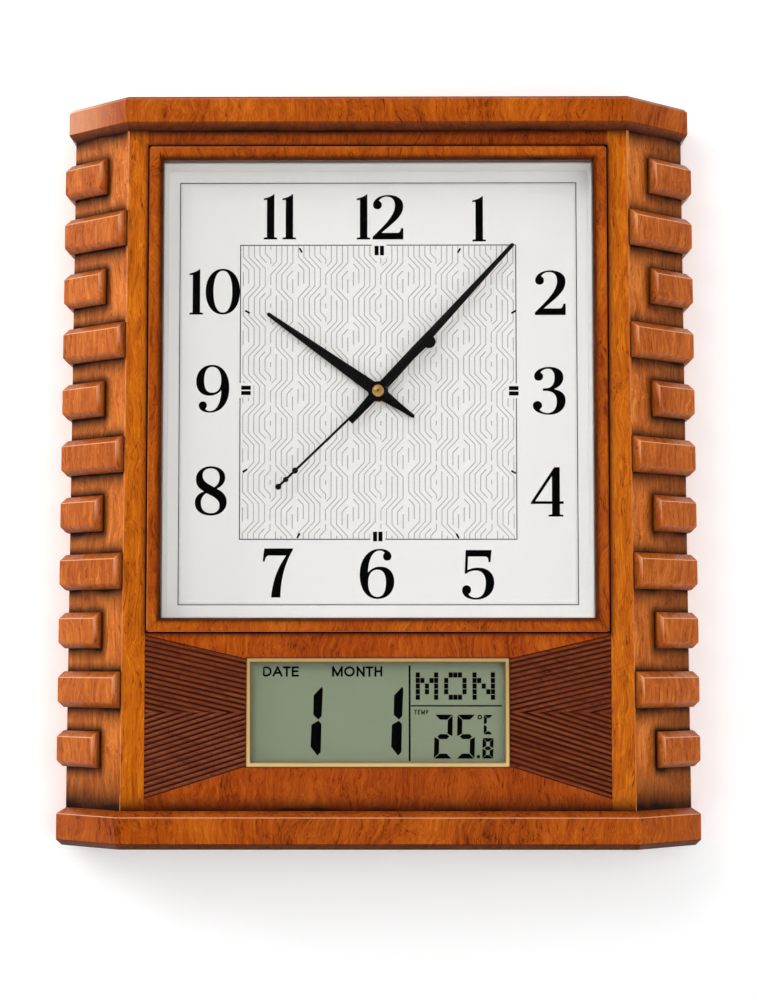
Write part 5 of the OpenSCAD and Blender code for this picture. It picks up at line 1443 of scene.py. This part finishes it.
class MakeModule(Operator):
    """Housing, door and buttons of the calendar module"""
    bl_idname = "clock.calendar_module"
    bl_label = "Calendar module"

    def execute(self, context):
        # ABS, moulded pale grey with a spark texture: matt and even
        dress(("calendar_housing", "calendar_door"),
              even_finish("grey_abs_moulded", linear("#c9c6bb"), roughness=0.5, mottle=0.03,
                          size=0.9, bump=0.02))
        # ABS, moulded dark grey: buttons that stand out from the housing
        dress(("mode_button", "plus_button", "minus_button"),
              even_finish("dark_abs_buttons", linear("#3a3c40"), roughness=0.45, mottle=0.08,
                          size=0.7, bump=0.01))
        # Silicone rubber in layers, extruded: fine bands across the strip, quite dull
        dress(("zebra_strips",),
              even_finish("silicone_rubber_strip", linear("#8d8f92"), roughness=0.6, mottle=0.2,
                          size=0.4, bump=0.01, stretch=(1, 0.05, 0.05)))
        return {"FINISHED"}


class MakeBack(Operator):
    """Back board, hanger, blocks, screws and pads"""
    bl_idname = "clock.back"
    bl_label = "Back of the case"

    def execute(self, context):
        tones = context.scene.clock_colours
        # Hardboard, pressed: a dull brown with short fibres
        dress(("back_board",),
              even_finish("hardboard_pressed", tones.back, roughness=0.7, mottle=0.18, size=1.2,
                          bump=0.06))
        # Pine, planed and left bare: pale, with long fibres across the clock and no gleam
        dress(("hanger_rail", "case_blocks"),
              lacquered_veneer("bare_pine_planed", linear("#c39a66"), tones, 0.2, 0.3,
                               roughness=0.65, coat=0.0, along=(0, math.radians(90), 0)))
        # Steel, zinc plated: a pale mirror in large faint clouds
        dress(("hanger_plate",),
              even_finish("zinc_plated_steel", linear("#b9bcbf"), roughness=0.32, mottle=0.12,
                          size=4.0, bump=0.005, metallic=1.0))
        # The same on small screws, with finer clouds
        dress(("pan_screws", "countersunk_screws"),
              even_finish("zinc_plated_screws", linear("#b3b5b6"), roughness=0.3, mottle=0.1,
                          size=0.8, metallic=1.0))
        # Soft rubber, moulded: nearly black and without a gleam
        dress(("wall_pads",),
              even_finish("soft_rubber_pads", linear("#2a2a2a"), roughness=0.85, mottle=0.1,
                          size=0.8, bump=0.03))
        return {"FINISHED"}


# Add-on

MAKERS = (MakeStage, MakeWoodwork, MakeBlocks, MakeDialFrame, MakeWings, MakeDial, MakeHands,
          MakeDisplay, MakeMovement, MakeModule, MakeBack)


class ClockPanel(Panel):
    """Lists what builds the clock, and its sizes and colours"""
    bl_idname = "VIEW3D_PT_calendar_clock"
    bl_label = "Calendar clock"
    bl_space_type = "VIEW_3D"
    bl_region_type = "UI"
    bl_category = "Clock"

    def draw(self, context):
        for maker in MAKERS:
            self.layout.operator(maker.bl_idname)
        for group in (context.scene.clock_sizes, context.scene.clock_colours):
            box = self.layout.box()
            for key in group.__annotations__:
                box.prop(group, key)


CLASSES = (ClockSizes, ClockColours, *MAKERS, ClockPanel)


def register():
    for kind in CLASSES:
        bpy.utils.register_class(kind)
    bpy.types.Scene.clock_sizes = PointerProperty(type=ClockSizes)
    bpy.types.Scene.clock_colours = PointerProperty(type=ClockColours)


def unregister():
    del bpy.types.Scene.clock_sizes
    del bpy.types.Scene.clock_colours
    for kind in reversed(CLASSES):
        bpy.utils.unregister_class(kind)


def main():
    register()
    for maker in MAKERS:
        group, name = maker.bl_idname.split(".")
        getattr(getattr(bpy.ops, group), name)()


if __name__ == "__main__":
    main()
